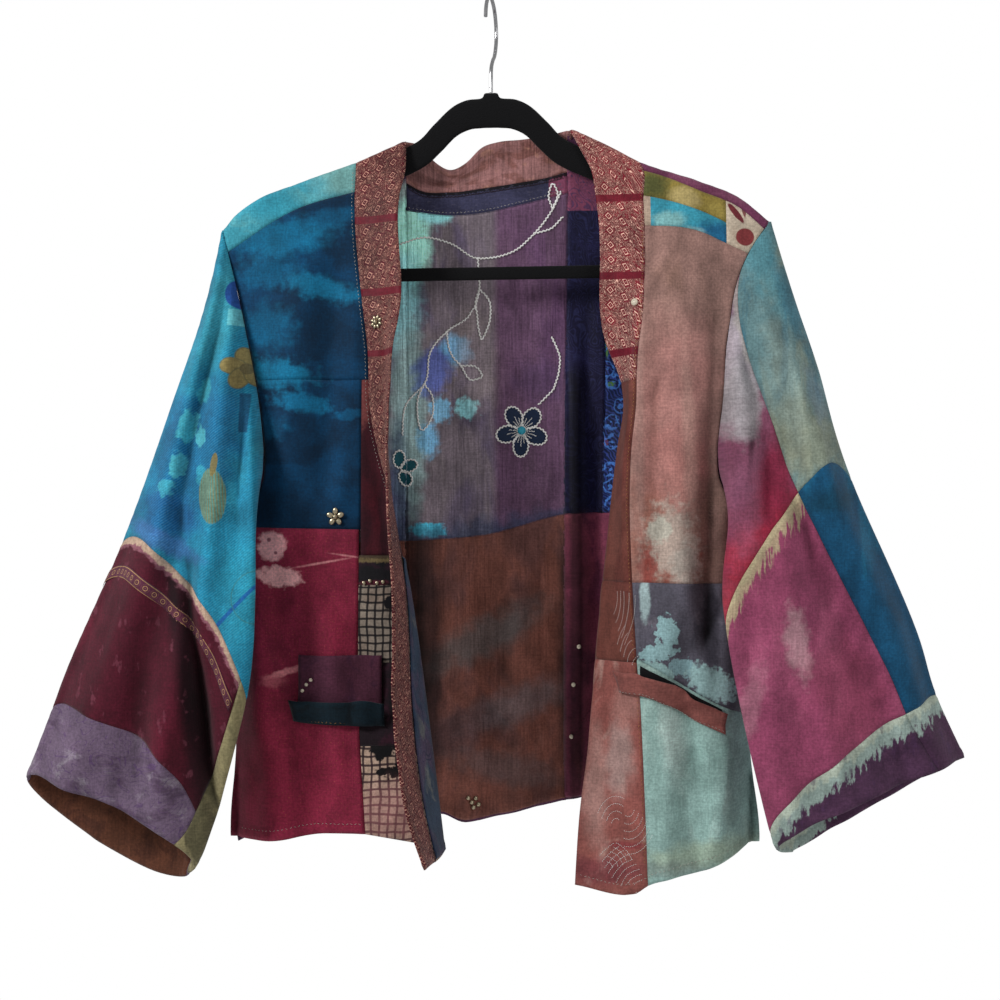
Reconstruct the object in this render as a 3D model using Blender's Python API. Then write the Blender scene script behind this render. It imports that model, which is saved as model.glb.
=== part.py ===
# Patchwork jacket hanging open on a flocked hanger.
# Millimetres in the tables, metres in the meshes. X to the viewer's right, -Y to the
# viewer, +Z up. The origin is the seat of the hook, where the hanger is held.
# "right" and "left" are the wearer's: right is at -X.
import bpy
import math
import numpy as np

for item in list(bpy.data.objects):
    bpy.data.objects.remove(item, do_unlink=True)

MM = 0.001
RIDGE_RADIUS = 5.5          # cloth rounding over the hanger's arm
WALL = 0.75                 # half of the outer cloth's thickness
SEAM = 0.15                 # half of the gap between two pieces
BUTT = 1.8                  # gap between a sleeve and the torso edge
LAP = 2.4                   # a sleeve's lower start stands off the torso by this
BLEND = 0.42                # share of a sleeve over which the armhole fades out
FRONT_DEPTH = 40.0          # how far the fronts stand before the shoulder line, low down
BACK_DEPTH = 40.0
HANG = 190.0                # drop over which that depth is gained
SIDE_ROUND = 46.0           # width over which front and back close to the side seam


def ease(t):
    t = np.clip(t, 0.0, 1.0)
    return t * t * (3.0 - 2.0 * t)


def follow(rows, at, col=1):
    """Smooth curve through one column of a table whose first column rises or falls."""
    data = sorted(rows, key=lambda r: r[0])
    k = np.array([r[0] for r in data], float)
    v = np.array([r[col] for r in data], float)
    h = np.diff(k)
    slope = np.diff(v) / h
    m = np.empty_like(v)
    m[0], m[-1] = slope[0], slope[-1]
    m[1:-1] = (slope[:-1] * h[1:] + slope[1:] * h[:-1]) / (h[1:] + h[:-1])
    flat = slope[:-1] * slope[1:] <= 0
    m[1:-1][flat] *= 0.35
    at = np.clip(np.asarray(at, float), k[0], k[-1])
    i = np.clip(np.searchsorted(k, at, side="right") - 1, 0, len(h) - 1)
    t = (at - k[i]) / h[i]
    return ((2 * t**3 - 3 * t**2 + 1) * v[i] + (t**3 - 2 * t**2 + t) * h[i] * m[i]
            + (-2 * t**3 + 3 * t**2) * v[i + 1] + (t**3 - t**2) * h[i] * m[i + 1])


# Shoulder line: x, z
RIDGE = [(-212.8, -184.5), (-206.0, -175.5), (-192.8, -164.6), (-152.8, -147.2),
         (-106.4, -130.4), (-68.8, -114.4), (61.6, -104.8), (87.2, -114.4),
         (119.2, -130.5), (167.2, -146.2), (199.2, -159.6), (221.6, -177.6)]

# Free side of each torso half, armhole then side seam: z, front x, back x
SIDE_R = [(-184, -212.8, -212.8), (-204, -207.9, -207.0), (-266, -193.1, -200.0),
          (-337, -178.7, -197.0), (-366, -176.0, -197.5), (-386, -177.5, -199.0),
          (-408, -189.0, -201.0), (-424, -202.0, -202.0), (-478, -202.5, -202.5),
          (-675, -202.0, -202.0)]
SIDE_L = [(-177, 221.6, 221.6), (-196, 208.0, 214.0), (-218, 197.0, 208.0),
          (-266, 186.0, 203.0), (-322, 181.0, 200.0), (-366, 176.5, 200.0),
          (-386, 178.5, 202.0), (-408, 191.5, 204.5), (-424, 206.5, 206.5),
          (-478, 206.5, 206.5), (-675, 204.5, 204.5)]
SIDE_SEAM = {"right": -202.5, "left": 206.5}
UNDERARM_Z = -424.0

# Front edges: z, line where the turn starts (x), turn (degrees, + to the viewer),
# cloth from there to the band seam, band width
EDGE_R = [(-114, -107.6, 0, 0, 40), (-133, -107.6, 2, 0, 40), (-162, -108.1, 22, 0, 38),
          (-243, -101.4, 42, 0, 38), (-282, -96.5, 70, 0, 38), (-322, -95.0, 80, 0, 38),
          (-361, -92.7, 88, 5, 38), (-400, -88.5, 93, 14, 37), (-478, -73.0, 102, 32, 36),
          (-555, -61.5, 109, 46, 34), (-632, -52.0, 106, 52, 34), (-680, -47.0, 97, 52, 34)]
EDGE_L = [(-104, 87.2, 0, 0, 25), (-131, 118.8, -4, 0, 42), (-162, 120.9, -14, 0, 38),
          (-210, 121.7, -12, 0, 36), (-232, 120.6, -16, 0, 36), (-256, 119.0, -34, 0, 37),
          (-282, 115.5, -62, 0, 38), (-306, 114.0, -82, 0, 38), (-322, 113.6, -86, 0, 38),
          (-361, 109.5, -84, 0, 38), (-400, 108.0, -77, 0, 38), (-446, 109.0, -67, 0, 39),
          (-478, 110.5, -58, 0, 40), (-528, 113.5, -47, 0, 43), (-555, 115.7, -42, 0, 46),
          (-601, 117.9, -33, 0, 49), (-655, 120.2, -12, 0, 53), (-706, 121.7, 0, 0, 57)]
TURN_R, TURN_L = 20.0, 7.0  # cloth used up by the turn itself

# Hems: x, z (front halves and the back)
HEM_R = [(-203, -668.5), (-174, -665.4), (-124, -657.7), (-70, -661.0), (-48, -667.5),
         (40, -668.5)]
HEM_L = [(55, -697.0), (62, -697.5), (111, -705.0), (120, -699.5), (162, -688.0),
         (207, -673.0)]
HEM_B = [(-203, -672.0), (-120, -662.0), (-42, -659.0), (-21, -666.0), (7, -660.0),
         (48, -651.0), (76, -644.5), (130, -655.0), (207, -676.0)]

# Vertical folds: x and z at the top, x and z at the foot, height (+ outwards), half width
FOLDS_R = [
    (-196, -300, -180, -600, 7, 10), (-150, -200, -160, -420, 5, 16),
    (-168, -430, -150, -655, -6, 12), (-120, -190, -128, -390, -4, 12),
    (-128, -470, -112, -660, 6, 13), (-100, -540, -96, -665, 4, 8)]
FOLDS_L = [
    (176, -200, 168, -520, -8, 8), (150, -180, 148, -500, 5, 14),
    (131, -230, 128, -470, -3, 9), (190, -470, 188, -670, 7, 12),
    (150, -480, 158, -690, -5, 12), (132, -560, 136, -700, 4, 9), (192, -230, 186, -420, 5, 8)]
FOLDS_B = [
    (-62, -350, -56, -655, -9, 9), (-20, -430, -14, -655, 6, 13), (12, -440, 18, -655, -5, 10),
    (44, -420, 48, -645, 6, 10), (68, -250, 70, -650, -11, 7), (88, -300, 90, -640, 6, 9),
    (-150, -300, -150, -660, 5, 16), (150, -300, 150, -660, 5, 16), (-34, -190, -30, -360, 3, 10),
    (30, -170, 24, -380, 3, 12), (110, -300, 110, -650, -6, 10), (-100, -260, -100, -650, -5, 14)]


def folds(rows, x, z):
    out = np.zeros(np.broadcast(x, z).shape)
    for x0, z0, x1, z1, height, half in rows:
        t = (z0 - z) / (z0 - z1)
        line = x0 + (x1 - x0) * t
        live = ease(t / 0.22) * ease((1.08 - t) / 0.16)
        out += height * live * np.exp(-((x - line) / half) ** 2)
    return out


def ridge_z(x):
    return follow(RIDGE, x)


def drop_to_s(drop):
    """Length along the cloth for a drop below the shoulder line."""
    r = RIDGE_RADIUS
    d = np.clip(drop, 0, r)
    return np.where(drop < r, r * np.arccos(1 - d / r), drop - r + math.pi * r / 2)


def s_of(x, z):
    return drop_to_s(ridge_z(x) - z)


def z_of(x, s):
    r = RIDGE_RADIUS
    quarter = math.pi * r / 2
    a = np.abs(s)
    return ridge_z(x) - np.where(a < quarter, r * (1 - np.cos(np.minimum(a, quarter) / r)),
                                 a - quarter + r)


def side_close(x, z, side):
    """0 at the side seam, 1 once the cloth lies flat; also its share of the top part."""
    seam = SIDE_SEAM[side]
    u = np.clip((x - seam) / SIDE_ROUND * (1 if side == "right" else -1), 0, 1)
    full = 1 - (1 - u) ** 2
    low = ease((-350.0 - z) / 60.0)
    return full, 1 - low * (1 - full)


def torso_depth(x, s, z, depth):
    r = RIDGE_RADIUS
    a = np.abs(s)
    quarter = math.pi * r / 2
    near = r * np.sin(np.minimum(a, quarter) / r)
    grown = depth * (1 - np.exp(-np.maximum(a - quarter, 0) / HANG))
    p_r, q_r = side_close(x, z, "right")
    p_l, q_l = side_close(x, z, "left")
    return near * q_r * q_l + grown * p_r * p_l


def front(side):
    edge, turn_len = (EDGE_R, TURN_R) if side == "right" else (EDGE_L, TURN_L)
    rows = FOLDS_R if side == "right" else FOLDS_L
    way = 1.0 if side == "right" else -1.0

    def surface(x, s):
        z_flat = z_of(x, s)
        start = follow(edge, z_flat, 1)
        turn = np.radians(follow(edge, z_flat, 2)) * ease(s / 16.0)
        turn = np.where(np.abs(turn) < 1e-4, 1e-4, turn)
        over = (x - start) * way
        inner = np.where(over > 0, start, x)
        z = z_of(inner, s)
        y = -torso_depth(inner, s, z, FRONT_DEPTH)
        y = np.where(s < 0, -y, y)
        y = y - folds(rows, inner, z) * ease(s / 40.0)
        over = np.maximum(over, 0)
        radius = turn_len / turn
        on_arc = np.minimum(over, turn_len)
        past = over - on_arc
        angle = on_arc / radius
        across = radius * np.sin(angle) + past * np.cos(turn)
        forward = radius * (1 - np.cos(angle)) + past * np.sin(turn)
        return np.stack([inner + way * across, y - forward, z_flat], -1)
    return surface


def back(x, s):
    z = z_of(x, s)
    y = torso_depth(x, s, z, BACK_DEPTH) + folds(FOLDS_B, x, z) * ease(s / 40.0)
    return np.stack([x, y, z], -1)


# Sleeves, one row per section down the sleeve:
# share of the length, outer fold x y z, inner fold x y z, front belly, back belly,
# lift of the front edge, drop of the back edge, swing of the front over the torso
SLEEVE_R = [
    (0.00, -214.6, 0, -184.5, -205, 0, -424, 12, 12, 0, 0, 24),
    (0.20, -229.0, -4, -248, -208, -20, -450, 26, 22, 0, 0, 34),
    (0.40, -251.0, -9, -320, -212, -36, -490, 30, 22, 0, 0, 40),
    (0.65, -291.0, -16, -436, -214, -46, -548, 34, 24, 0, 0, 43),
    (0.85, -333.0, -22, -535, -222, -52, -628, 34, 22, 3, 0, 31),
    (0.94, -346.0, -25, -572, -228, -54, -672, 33, 22, 9, 6, 20),
    (1.00, -363.0, -28, -618, -232, -54, -686, 32, 22, 20, 20, 14)]
SLEEVE_L = [
    (0.00, 223.4, 0, -177.6, 209, 0, -424, 12, 12, 0, 0, 26),
    (0.20, 243.0, -4, -238, 213, -20, -448, 26, 22, 0, 0, 36),
    (0.40, 259.0, -9, -296, 216, -34, -482, 30, 22, 0, 0, 47),
    (0.65, 284.0, -15, -384, 219, -45, -520, 34, 24, 0, 0, 50),
    (0.85, 336.0, -20, -508, 226, -52, -618, 34, 22, 2, 0, 38),
    (0.94, 350.0, -25, -557, 229, -54, -660, 33, 22, 4, 2, 29),
    (1.00, 370.0, -28, -602, 231, -54, -670, 32, 22, 10, 4, 26)]

# Sleeve folds: share of length and of the way round at both ends, height, half width
SLEEVE_FOLDS_R = [
    (0.02, 0.10, 0.62, 0.32, 9, 0.07), (0.05, 0.22, 1.00, 0.52, -12, 0.06),
    (0.10, 0.36, 1.00, 0.58, 8, 0.07), (0.12, 0.50, 0.90, 0.64, -4, 0.06),
    (0.55, 0.12, 1.05, 0.16, -7, 0.06), (0.60, 0.28, 1.05, 0.36, 7, 0.07)]
SLEEVE_FOLDS_L = [
    (0.02, 0.30, 0.98, 0.24, 9, 0.06), (0.04, 0.42, 0.92, 0.40, -11, 0.05),
    (0.08, 0.60, 0.80, 0.56, 6, 0.07), (0.50, 0.60, 1.05, 0.60, -4, 0.06),
    (0.55, 0.12, 1.05, 0.12, -7, 0.06)]


def sleeve(side):
    rows = SLEEVE_R if side == "right" else SLEEVE_L
    crease = SLEEVE_FOLDS_R if side == "right" else SLEEVE_FOLDS_L
    edge = SIDE_R if side == "right" else SIDE_L
    way = 1.0 if side == "right" else -1.0
    panel = front(side)
    top_x = edge[0][1] - BUTT * way
    top_z = float(ridge_z(np.array(top_x)))

    def armhole(share, face):
        """Start of the sleeve, just outside the torso's edge, top to underarm."""
        z = top_z + (UNDERARM_Z - top_z) * share
        x = follow(edge, z, 1 if face > 0 else 2)
        s = drop_to_s(np.maximum(ridge_z(x) - z, 0.0))
        p = (panel if face > 0 else back)(x, s)
        p[..., 0] -= way * (BUTT + 2.2 * ease((share - 0.7) / 0.25))
        p[..., 1] -= face * LAP * ease((share - 0.4) / 0.3)
        p[..., 1] *= np.clip((1 - share) / 0.05, 0, 1)
        return p

    def surface(t, w):
        """w runs -1..1: 0 outer fold, +1 and -1 inner fold, + is the front."""
        t, w = np.broadcast_arrays(np.asarray(t, float), np.asarray(w, float))
        outer = np.stack([follow(rows, t, c) for c in (1, 2, 3)], -1)
        inner = np.stack([follow(rows, t, c) for c in (4, 5, 6)], -1)
        a = np.abs(w)
        sine = np.sin(math.pi * a)
        share = (1 - np.cos(math.pi * a)) / 2
        body = outer + (inner - outer) * share[..., None]
        fore = w >= 0
        belly = np.where(fore, -follow(rows, t, 7), follow(rows, t, 8))
        belly = belly * sine * (1 + 0.18 * np.sin(2 * math.pi * a))
        rise = np.where(fore, follow(rows, t, 9), -follow(rows, t, 10)) * sine
        over = follow(rows, t, 11) * np.sin(math.pi * a ** 2.2) * np.where(fore, 1.0, 0.0)
        belly = belly - over * (0.62 + 0.5 * (1 - ease(t / 0.5)))
        over = over + 8 * (1 - ease(t / 0.3)) * sine * np.where(fore, 1.0, -1.0)
        body = body + np.stack([rise * 0.3 * way + over * way, belly, rise], -1)
        for t0, w0, t1, w1, height, half in crease:
            k = np.clip((t - t0) / (t1 - t0), 0, 1)
            line = w0 + (w1 - w0) * k
            live = ease(k / 0.2) * ease((1.15 - k) / 0.3)
            lift = height * live * np.exp(-((w - line) / half) ** 2)
            body[..., 1] -= lift * np.minimum(1.0, 1.25 * sine)
        ring = np.where(fore[..., None], armhole(share, 1), armhole(share, -1))
        quick = np.sin(math.pi / 2 * np.clip(t / BLEND, 0, 1))
        forth = np.sin(math.pi / 2 * np.clip(t / (0.7 * BLEND), 0, 1))
        across = quick * (1 - share) + ease(t / BLEND) * share
        k = np.stack([across, forth, (across + forth) / 2], -1)
        return ring * (1 - k) + body * k
    return surface


FRONT_R, FRONT_L = front("right"), front("left")
SLEEVE_RIGHT, SLEEVE_LEFT = sleeve("right"), sleeve("left")

# Collections and materials
parts = bpy.data.collections.new("patchwork jacket on hanger")
bpy.context.scene.collection.children.link(parts)


def paint(name, colour, rough=0.8, metallic=0.0):
    mat = bpy.data.materials.new(name)
    mat.use_nodes = True
    bsdf = mat.node_tree.nodes["Principled BSDF"]
    bsdf.inputs["Base Color"].default_value = (*colour, 1)
    bsdf.inputs["Roughness"].default_value = rough
    bsdf.inputs["Metallic"].default_value = metallic
    mat.diffuse_color = (*colour, 1)
    return mat


def add(name, verts, faces, colour, rough=0.8, metallic=0.0):
    mesh = bpy.data.meshes.new(name)
    mesh.from_pydata([tuple(v * MM for v in p) for p in verts], [], faces)
    mesh.update()
    obj = bpy.data.objects.new(name, mesh)
    mesh.materials.append(paint(name, colour, rough, metallic))
    parts.objects.link(obj)
    return obj


def normals(call, a, b, step_a, step_b, flip):
    da = call(a + step_a, b) - call(a - step_a, b)
    db = call(a, b + step_b) - call(a, b - step_b)
    n = np.cross(da, db) * flip
    return n / np.linalg.norm(n, axis=-1, keepdims=True)


def wall(name, mid, n, low, high, colour, keep=None):
    """Closed cloth wall: two grids, a distance low and high from the middle, and a rim."""
    rows, cols = mid.shape[:2]
    skins = [mid + n * high, mid + n * low]
    if keep is not None:
        skins = [keep(p) for p in skins]
    verts = np.concatenate([p.reshape(-1, 3) for p in skins]).tolist()
    size = rows * cols
    faces = []
    for j in range(rows - 1):
        for i in range(cols - 1):
            q = [j * cols + i, j * cols + i + 1, (j + 1) * cols + i + 1, (j + 1) * cols + i]
            for tri in ((q[0], q[1], q[2]), (q[0], q[2], q[3])):
                faces.append(list(tri))
                faces.append([size + k for k in reversed(tri)])
    loop = ([(0, i) for i in range(cols)] + [(j, cols - 1) for j in range(1, rows)]
            + [(rows - 1, i) for i in range(cols - 2, -1, -1)]
            + [(j, 0) for j in range(rows - 2, 0, -1)])
    ring = [j * cols + i for j, i in loop]
    for a, b in zip(ring, ring[1:] + ring[:1]):
        faces.append([b, a, size + a, size + b])
    return verts, faces


def outward(verts, faces):
    v = np.array(verts)
    total = 0.0
    for f in faces:
        for k in range(1, len(f) - 1):
            total += np.dot(v[f[0]], np.cross(v[f[k]], v[f[k + 1]]))
    return faces if total > 0 else [list(reversed(f)) for f in faces]


def piece(name, call, a, b, steps, flip, colour, low=-WALL, high=WALL, keep=None):
    mid = call(a, b)
    n = normals(call, a, b, steps[0], steps[1], flip)
    verts, faces = wall(name, mid, n, low, high, colour, keep)
    return add(name, verts, outward(verts, faces), colour)


def line(value, rows_key):
    """A bound given as a number or as a table of (place, value)."""
    if callable(value):
        return value(rows_key)
    if np.isscalar(value):
        return np.full_like(rows_key, float(value))
    return follow(value, rows_key)


RIM_S = -4.8                # the fronts pass over the shoulder line by this much
HEAD_S = (RIM_S, -0.8, 3.0, 8.0)


def panel_grid(left, right, top, foot, cols, rows, inset=(SEAM,) * 4, from_ridge=False):
    """Grid of (x, s) between side lines x(z) and top and foot lines z(x)."""
    u = np.linspace(0, 1, cols)[None, :]
    v = np.linspace(0, 1, rows)[:, None]
    x = np.full((rows, cols), 0.0)
    z = np.full((rows, cols), -300.0)
    x = line(left, z) * (1 - u) + line(right, z) * u
    for _ in range(12):
        z_top = ridge_z(x) - 2.0 if top is None else line(top, x)
        z_foot = line(foot, x)
        z = z_top * (1 - v) + z_foot * v
        lo, hi = line(left, z) + inset[0], line(right, z) - inset[1]
        x = lo * (1 - u) + hi * u
    s_foot = s_of(x, line(foot, x)) - inset[3]
    if top is None:
        s = np.full((rows, cols), 20.0)
        for _ in range(10):
            zz = z_of(x, s)
            lo, hi = line(left, zz) + inset[0], line(right, zz) - inset[1]
            x = lo * (1 - u) + hi * u
            s_foot = (s_of(x, line(foot, x)) - inset[3])[-1:]
            s = RIM_S + (s_foot - RIM_S) * v
            if rows > 5 and s_foot.min() > 26:
                head = np.array(HEAD_S)[:, None] * np.ones((1, cols))
                rest = np.arange(1, rows - 3)[:, None] / (rows - 4)
                s = np.concatenate([head, HEAD_S[-1] + (s_foot - HEAD_S[-1]) * rest])
    else:
        s_top = s_of(x, line(top, x)) + inset[2]
        s = s_top * (1 - v) + s_foot * v
    return x, s


def net(cols, marks, counts, start):
    """Grid of (x, s) whose columns follow x(z) lines and whose rows follow z(x) lines.

    The first mark may be None, the shoulder line. Returns the grid and the rows of marks."""
    n = len(cols)
    x = np.zeros((len(marks), n))
    z = np.full((len(marks), n), -300.0)
    for _ in range(14):
        x = np.stack([line(c, z[:, i]) for i, c in enumerate(cols)], 1)
        z = np.stack([z_of(x[k], np.full(n, start)) if m is None else line(m, x[k])
                      for k, m in enumerate(marks)])
    s_mark = np.stack([np.full(n, start) if m is None else s_of(x[k], z[k])
                       for k, m in enumerate(marks)])
    rows, at = [], [0]
    for k, count in enumerate(counts):
        for j in range(count):
            rows.append(s_mark[k] + (s_mark[k + 1] - s_mark[k]) * (j / count) ** (
                1.35 if marks[k] is None else 1.0))
        at.append(len(rows))
    rows.append(s_mark[-1])
    s = np.stack(rows)
    x = np.broadcast_to(x[:1], s.shape).copy()
    for _ in range(14):
        x = np.stack([line(c, z_of(x[:, i], s[:, i])) for i, c in enumerate(cols)], 1)
    return x, s, at


def cut(grid, r0, r1, c0, c1, inset=(SEAM,) * 4):
    x, s = grid[0][r0:r1 + 1, c0:c1 + 1].copy(), grid[1][r0:r1 + 1, c0:c1 + 1].copy()
    x[:, 0] += inset[0]
    x[:, -1] -= inset[1]
    s[0] += inset[2]
    s[-1] -= inset[3]
    return x, s


def forward_only(p):
    q = p.copy()
    low = q[..., 2] < UNDERARM_Z + 4
    q[..., 1] = np.where(low, np.minimum(q[..., 1], -SEAM), q[..., 1])
    return q


def behind_only(p):
    q = p.copy()
    low = q[..., 2] < UNDERARM_Z + 4
    q[..., 1] = np.where(low, np.maximum(q[..., 1], SEAM), q[..., 1])
    return q


def side_x(table, col, shift=0.0):
    return lambda z: follow(table, z, col) + shift


def seam_r(z):
    """Band seam of the right front, laid flat."""
    return follow(EDGE_R, z, 1) + follow(EDGE_R, z, 3)


def free_r(z):
    return seam_r(z) + follow(EDGE_R, z, 4)


def seam_l(z):
    return follow(EDGE_L, z, 1)


def free_l(z):
    return seam_l(z) - follow(EDGE_L, z, 4)


STEP = (0.5, 0.5)


def front_piece(name, side, left, right, top, foot, cols, rows, colour, low=-WALL, high=WALL,
                inset=(SEAM,) * 4):
    x, s = panel_grid(left, right, top, foot, cols, rows, inset)
    call = FRONT_R if side == "right" else FRONT_L
    return piece(name, call, x, s, STEP, -1, colour, low, high, forward_only)


# Colours
TEAL, TURQ, PLUM, MAROON = (0.04, 0.2, 0.24), (0.2, 0.55, 0.55), (0.16, 0.04, 0.1), (0.3, 0.04, 0.07)
BROCADE, RUST, ROSE, SLATE = (0.42, 0.16, 0.08), (0.45, 0.17, 0.12), (0.48, 0.26, 0.24), (0.25, 0.33, 0.37)
MINT, NAVY, CREAM, OLIVE = (0.5, 0.62, 0.55), (0.05, 0.06, 0.16), (0.7, 0.62, 0.5), (0.25, 0.24, 0.08)
MAUVE, PURPLE, BLUE, BROWN = (0.36, 0.24, 0.36), (0.25, 0.1, 0.28), (0.1, 0.25, 0.5), (0.28, 0.13, 0.08)
BLACK = (0.02, 0.02, 0.022)

# Right front. Patch lines: z against x, or x against z
YOKE_R = [(-212, -204), (-152, -168), (-107, -155)]
CHEST_R = [(-206, -421), (-101, -423)]
STRIP_IN = [(-300, -100.8), (-361, -101), (-423, -101), (-455, -101)]
CHECK_IN = [(-440, -102.5), (-530, -102.8), (-668, -96)]
MID_CHEST = [(-206, -306), (-94, -306)]
front_piece("front_right_yoke", "right", side_x(SIDE_R, 1), seam_r, None, YOKE_R, 8, 7, TURQ)
front_piece("front_right_upper", "right", side_x(SIDE_R, 1), seam_r, YOKE_R, MID_CHEST, 8, 8, TEAL)
front_piece("front_right_chest", "right", side_x(SIDE_R, 1), STRIP_IN, MID_CHEST, CHEST_R, 8, 12,
            TEAL)
front_piece("front_right_plum_strip", "right", STRIP_IN, seam_r, MID_CHEST,
            [(-104, -443), (-50, -443)], 3, 9, PLUM)
front_piece("front_right_lower", "right", side_x(SIDE_R, 1), CHECK_IN, CHEST_R, HEM_R, 8, 16,
            MAROON)


def near_edge(share):
    return lambda z: (follow(EDGE_R, z, 1) - 5) * (1 - share) + seam_r(z) * share


STRIP_MARKS = [[(-110, -443), (-30, -443)], [(-110, -466), (-30, -466)],
               [(-110, -526), (-30, -526)], [(-110, -590), (-30, -590)], HEM_R]
strip = net([CHECK_IN, near_edge(0), near_edge(0.25), near_edge(0.5), near_edge(0.75),
             near_edge(1)], STRIP_MARKS, [2, 4, 4, 5], 0)
for k, (label, tone) in enumerate((("brown", BROWN), ("check", CREAM), ("maroon", MAROON),
                                   ("low_check", CREAM))):
    px, ps = cut(strip, strip[2][k], strip[2][k + 1], 0, 5)
    piece("front_right_strip_" + label, FRONT_R, px, ps, STEP, -1, tone)
# Blue facing inside the turned edge, from the same points
px, ps = cut(strip, 0, strip[2][-1], 1, 5, (SEAM, 0.8, 0.6, 2.0))
piece("facing_right", FRONT_R, px, ps, STEP, -1, BLUE, -WALL - 1.4, -WALL - 0.4)
front_piece("band_right", "right", seam_r, free_r, None, HEM_R, 5, 28, BROCADE,
            inset=(0.4, 0, 0, SEAM))

# Left front
BAND_IN = (0, 0.3, SEAM, SEAM)
front_piece("band_left_upper", "left", free_l, seam_l, None, [(60, -306), (130, -306)], 5, 13,
            BROCADE, inset=BAND_IN)
front_piece("band_left_lower", "left", free_l, seam_l, [(60, -306), (130, -306)],
            [(50, -464), (130, -464)], 4, 10, RUST, inset=BAND_IN)
front_piece("band_left_embroidered", "left", free_l, seam_l, [(50, -464), (130, -464)],
            [(50, -526), (130, -526)], 4, 5, BROCADE, inset=BAND_IN)
front_piece("band_left_rust", "left", free_l, seam_l, [(50, -526), (130, -526)], HEM_L, 5, 11,
            RUST, inset=BAND_IN)
OLIVE_TOP = [(110, -135), (134, -141), (167, -154), (199, -168), (222, -188)]
OLIVE_LOW = [(110, -157), (119, -158), (166, -170), (194, -183), (222, -198)]
TURQ_LOW = [(110, -182), (165, -187), (193, -199), (222, -210)]
MAIN_LOW = [(105, -464), (210, -466)]
SLATE_LOW = [(105, -520), (114, -524), (179, -560), (210, -572)]
PRINT_X = 187.0
side_l = side_x(SIDE_L, 1)
front_piece("front_left_purple_strip", "left", seam_l, side_l, None, OLIVE_TOP, 9, 5, PURPLE)
front_piece("front_left_olive_strip", "left", seam_l, PRINT_X, OLIVE_TOP, OLIVE_LOW, 7, 3, OLIVE)
front_piece("front_left_turquoise_strip", "left", seam_l, PRINT_X, OLIVE_LOW, TURQ_LOW, 7, 3, TURQ)
front_piece("front_left_cream_print", "left", PRINT_X, side_l, OLIVE_TOP, TURQ_LOW, 4, 4, CREAM,
            inset=(SEAM, SEAM, 0.7, SEAM))
front_piece("front_left_main", "left", seam_l, side_l, TURQ_LOW, MAIN_LOW, 9, 22, ROSE)
front_piece("front_left_slate", "left", seam_l, side_l, MAIN_LOW, SLATE_LOW, 9, 6, SLATE)
front_piece("front_left_mint", "left", seam_l, side_l, SLATE_LOW, HEM_L, 9, 9, MINT)


def on_top(name, side, left, right, top, foot, cols, rows, colour, height, lean, thick):
    """A piece lying on a front; its upper edge stands out by lean."""
    x, s = panel_grid(left, right, top, foot, cols, rows)
    call = FRONT_R if side == "right" else FRONT_L
    n = normals(call, x, s, *STEP, -1)
    v = np.linspace(1, 0, rows)[:, None, None]
    mid = call(x, s) + n * (height + lean * v ** 1.5)
    verts, faces = wall(name, mid, n, -thick / 2, thick / 2, colour)
    return add(name, verts, outward(verts, faces), colour)


# Slash pockets: the lining seen in the mouth, and the welt that stands off it
on_top("pocket_right_lining", "right", -148, -84, [(-150, -520), (-80, -520)],
       [(-150, -560), (-80, -560)], 6, 4, PLUM, 3.0, 0, 1.0)
on_top("pocket_right_welt", "right", -152, -82, [(-155, -554), (-80, -557)],
       [(-155, -572), (-80, -575)], 6, 3, NAVY, 4.2, 6.5, 1.5)
on_top("pocket_left_lining", "left", 116, 179, [(114, -527), (180, -563)],
       [(114, -541), (180, -575)], 6, 3, BLACK, 2.6, 0, 1.0)
on_top("pocket_left_welt", "left", 99, 181, [(90, -531), (116, -535), (182, -566)],
       [(90, -549), (116, -552), (182, -583)], 8, 3, RUST, 3.2, 8.0, 1.5)

# Back, outer layer
NECK = [(-69, -144), (-58, -150), (-33, -151.5), (-8, -148.5), (25, -143.5), (45, -140),
        (61.6, -135.5)]
NECK_R, NECK_L = -68.8, 61.6
BAND_R, BAND_L, LINE_L = -107.6, 118.8, 93.5
LOW_LINE = [(-203, -434), (-66, -433), (-9, -429), (69, -411), (207, -411)]


def share_x(table, inner, share):
    return lambda z: follow(table, z, 2) * (1 - share) + inner * share


back_cols = [share_x(SIDE_R, BAND_R, k / 7) for k in range(7)]
back_cols += [BAND_R, -94.3, -81.0, NECK_R]
outer_r = net(back_cols, [None, LOW_LINE, HEM_B], [13, 11], 5.6)
for_left = [NECK_L, 77.5, LINE_L, 106.0, BAND_L]
for_left += [share_x(SIDE_L, BAND_L, 1 - k / 6) for k in range(1, 7)]
outer_l = net(for_left, [None, LOW_LINE, HEM_B], [13, 11], 5.6)
FACING_LOW = [(-69, -166), (-33, -170), (-8, -168), (25, -161), (62, -152)]
middle = net([NECK_R, -54, -39, -24, -9, 5, 19, 33, 47, NECK_L],
             [NECK, FACING_LOW, LOW_LINE, HEM_B], [1, 13, 11], 0)


def back_cut(name, grid, r0, r1, c0, c1, colour, low=-WALL, high=WALL, inset=(SEAM,) * 4):
    px, ps = cut(grid, r0, r1, c0, c1, inset)
    return piece(name, back, px, ps, STEP, 1, colour, low, high, behind_only)


END = (SEAM, SEAM, 0, SEAM)
back_cut("back_outer_right", outer_r, 0, outer_r[2][2], 0, 10, PLUM, inset=END)
back_cut("back_outer_left", outer_l, 0, outer_l[2][2], 0, 10, PLUM, inset=END)
back_cut("back_outer_centre", middle, 0, middle[2][3], 0, 9, PLUM)

# Back, inner layer, from the same points where the open front shows it
INNER = (-WALL - 1.5, -WALL - 0.5)


def lining(name, grid, r0, r1, c0, c1, colour, inset=(SEAM,) * 4):
    back_cut(name, grid, r0, r1, c0, c1, colour, *INNER, inset)


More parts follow.
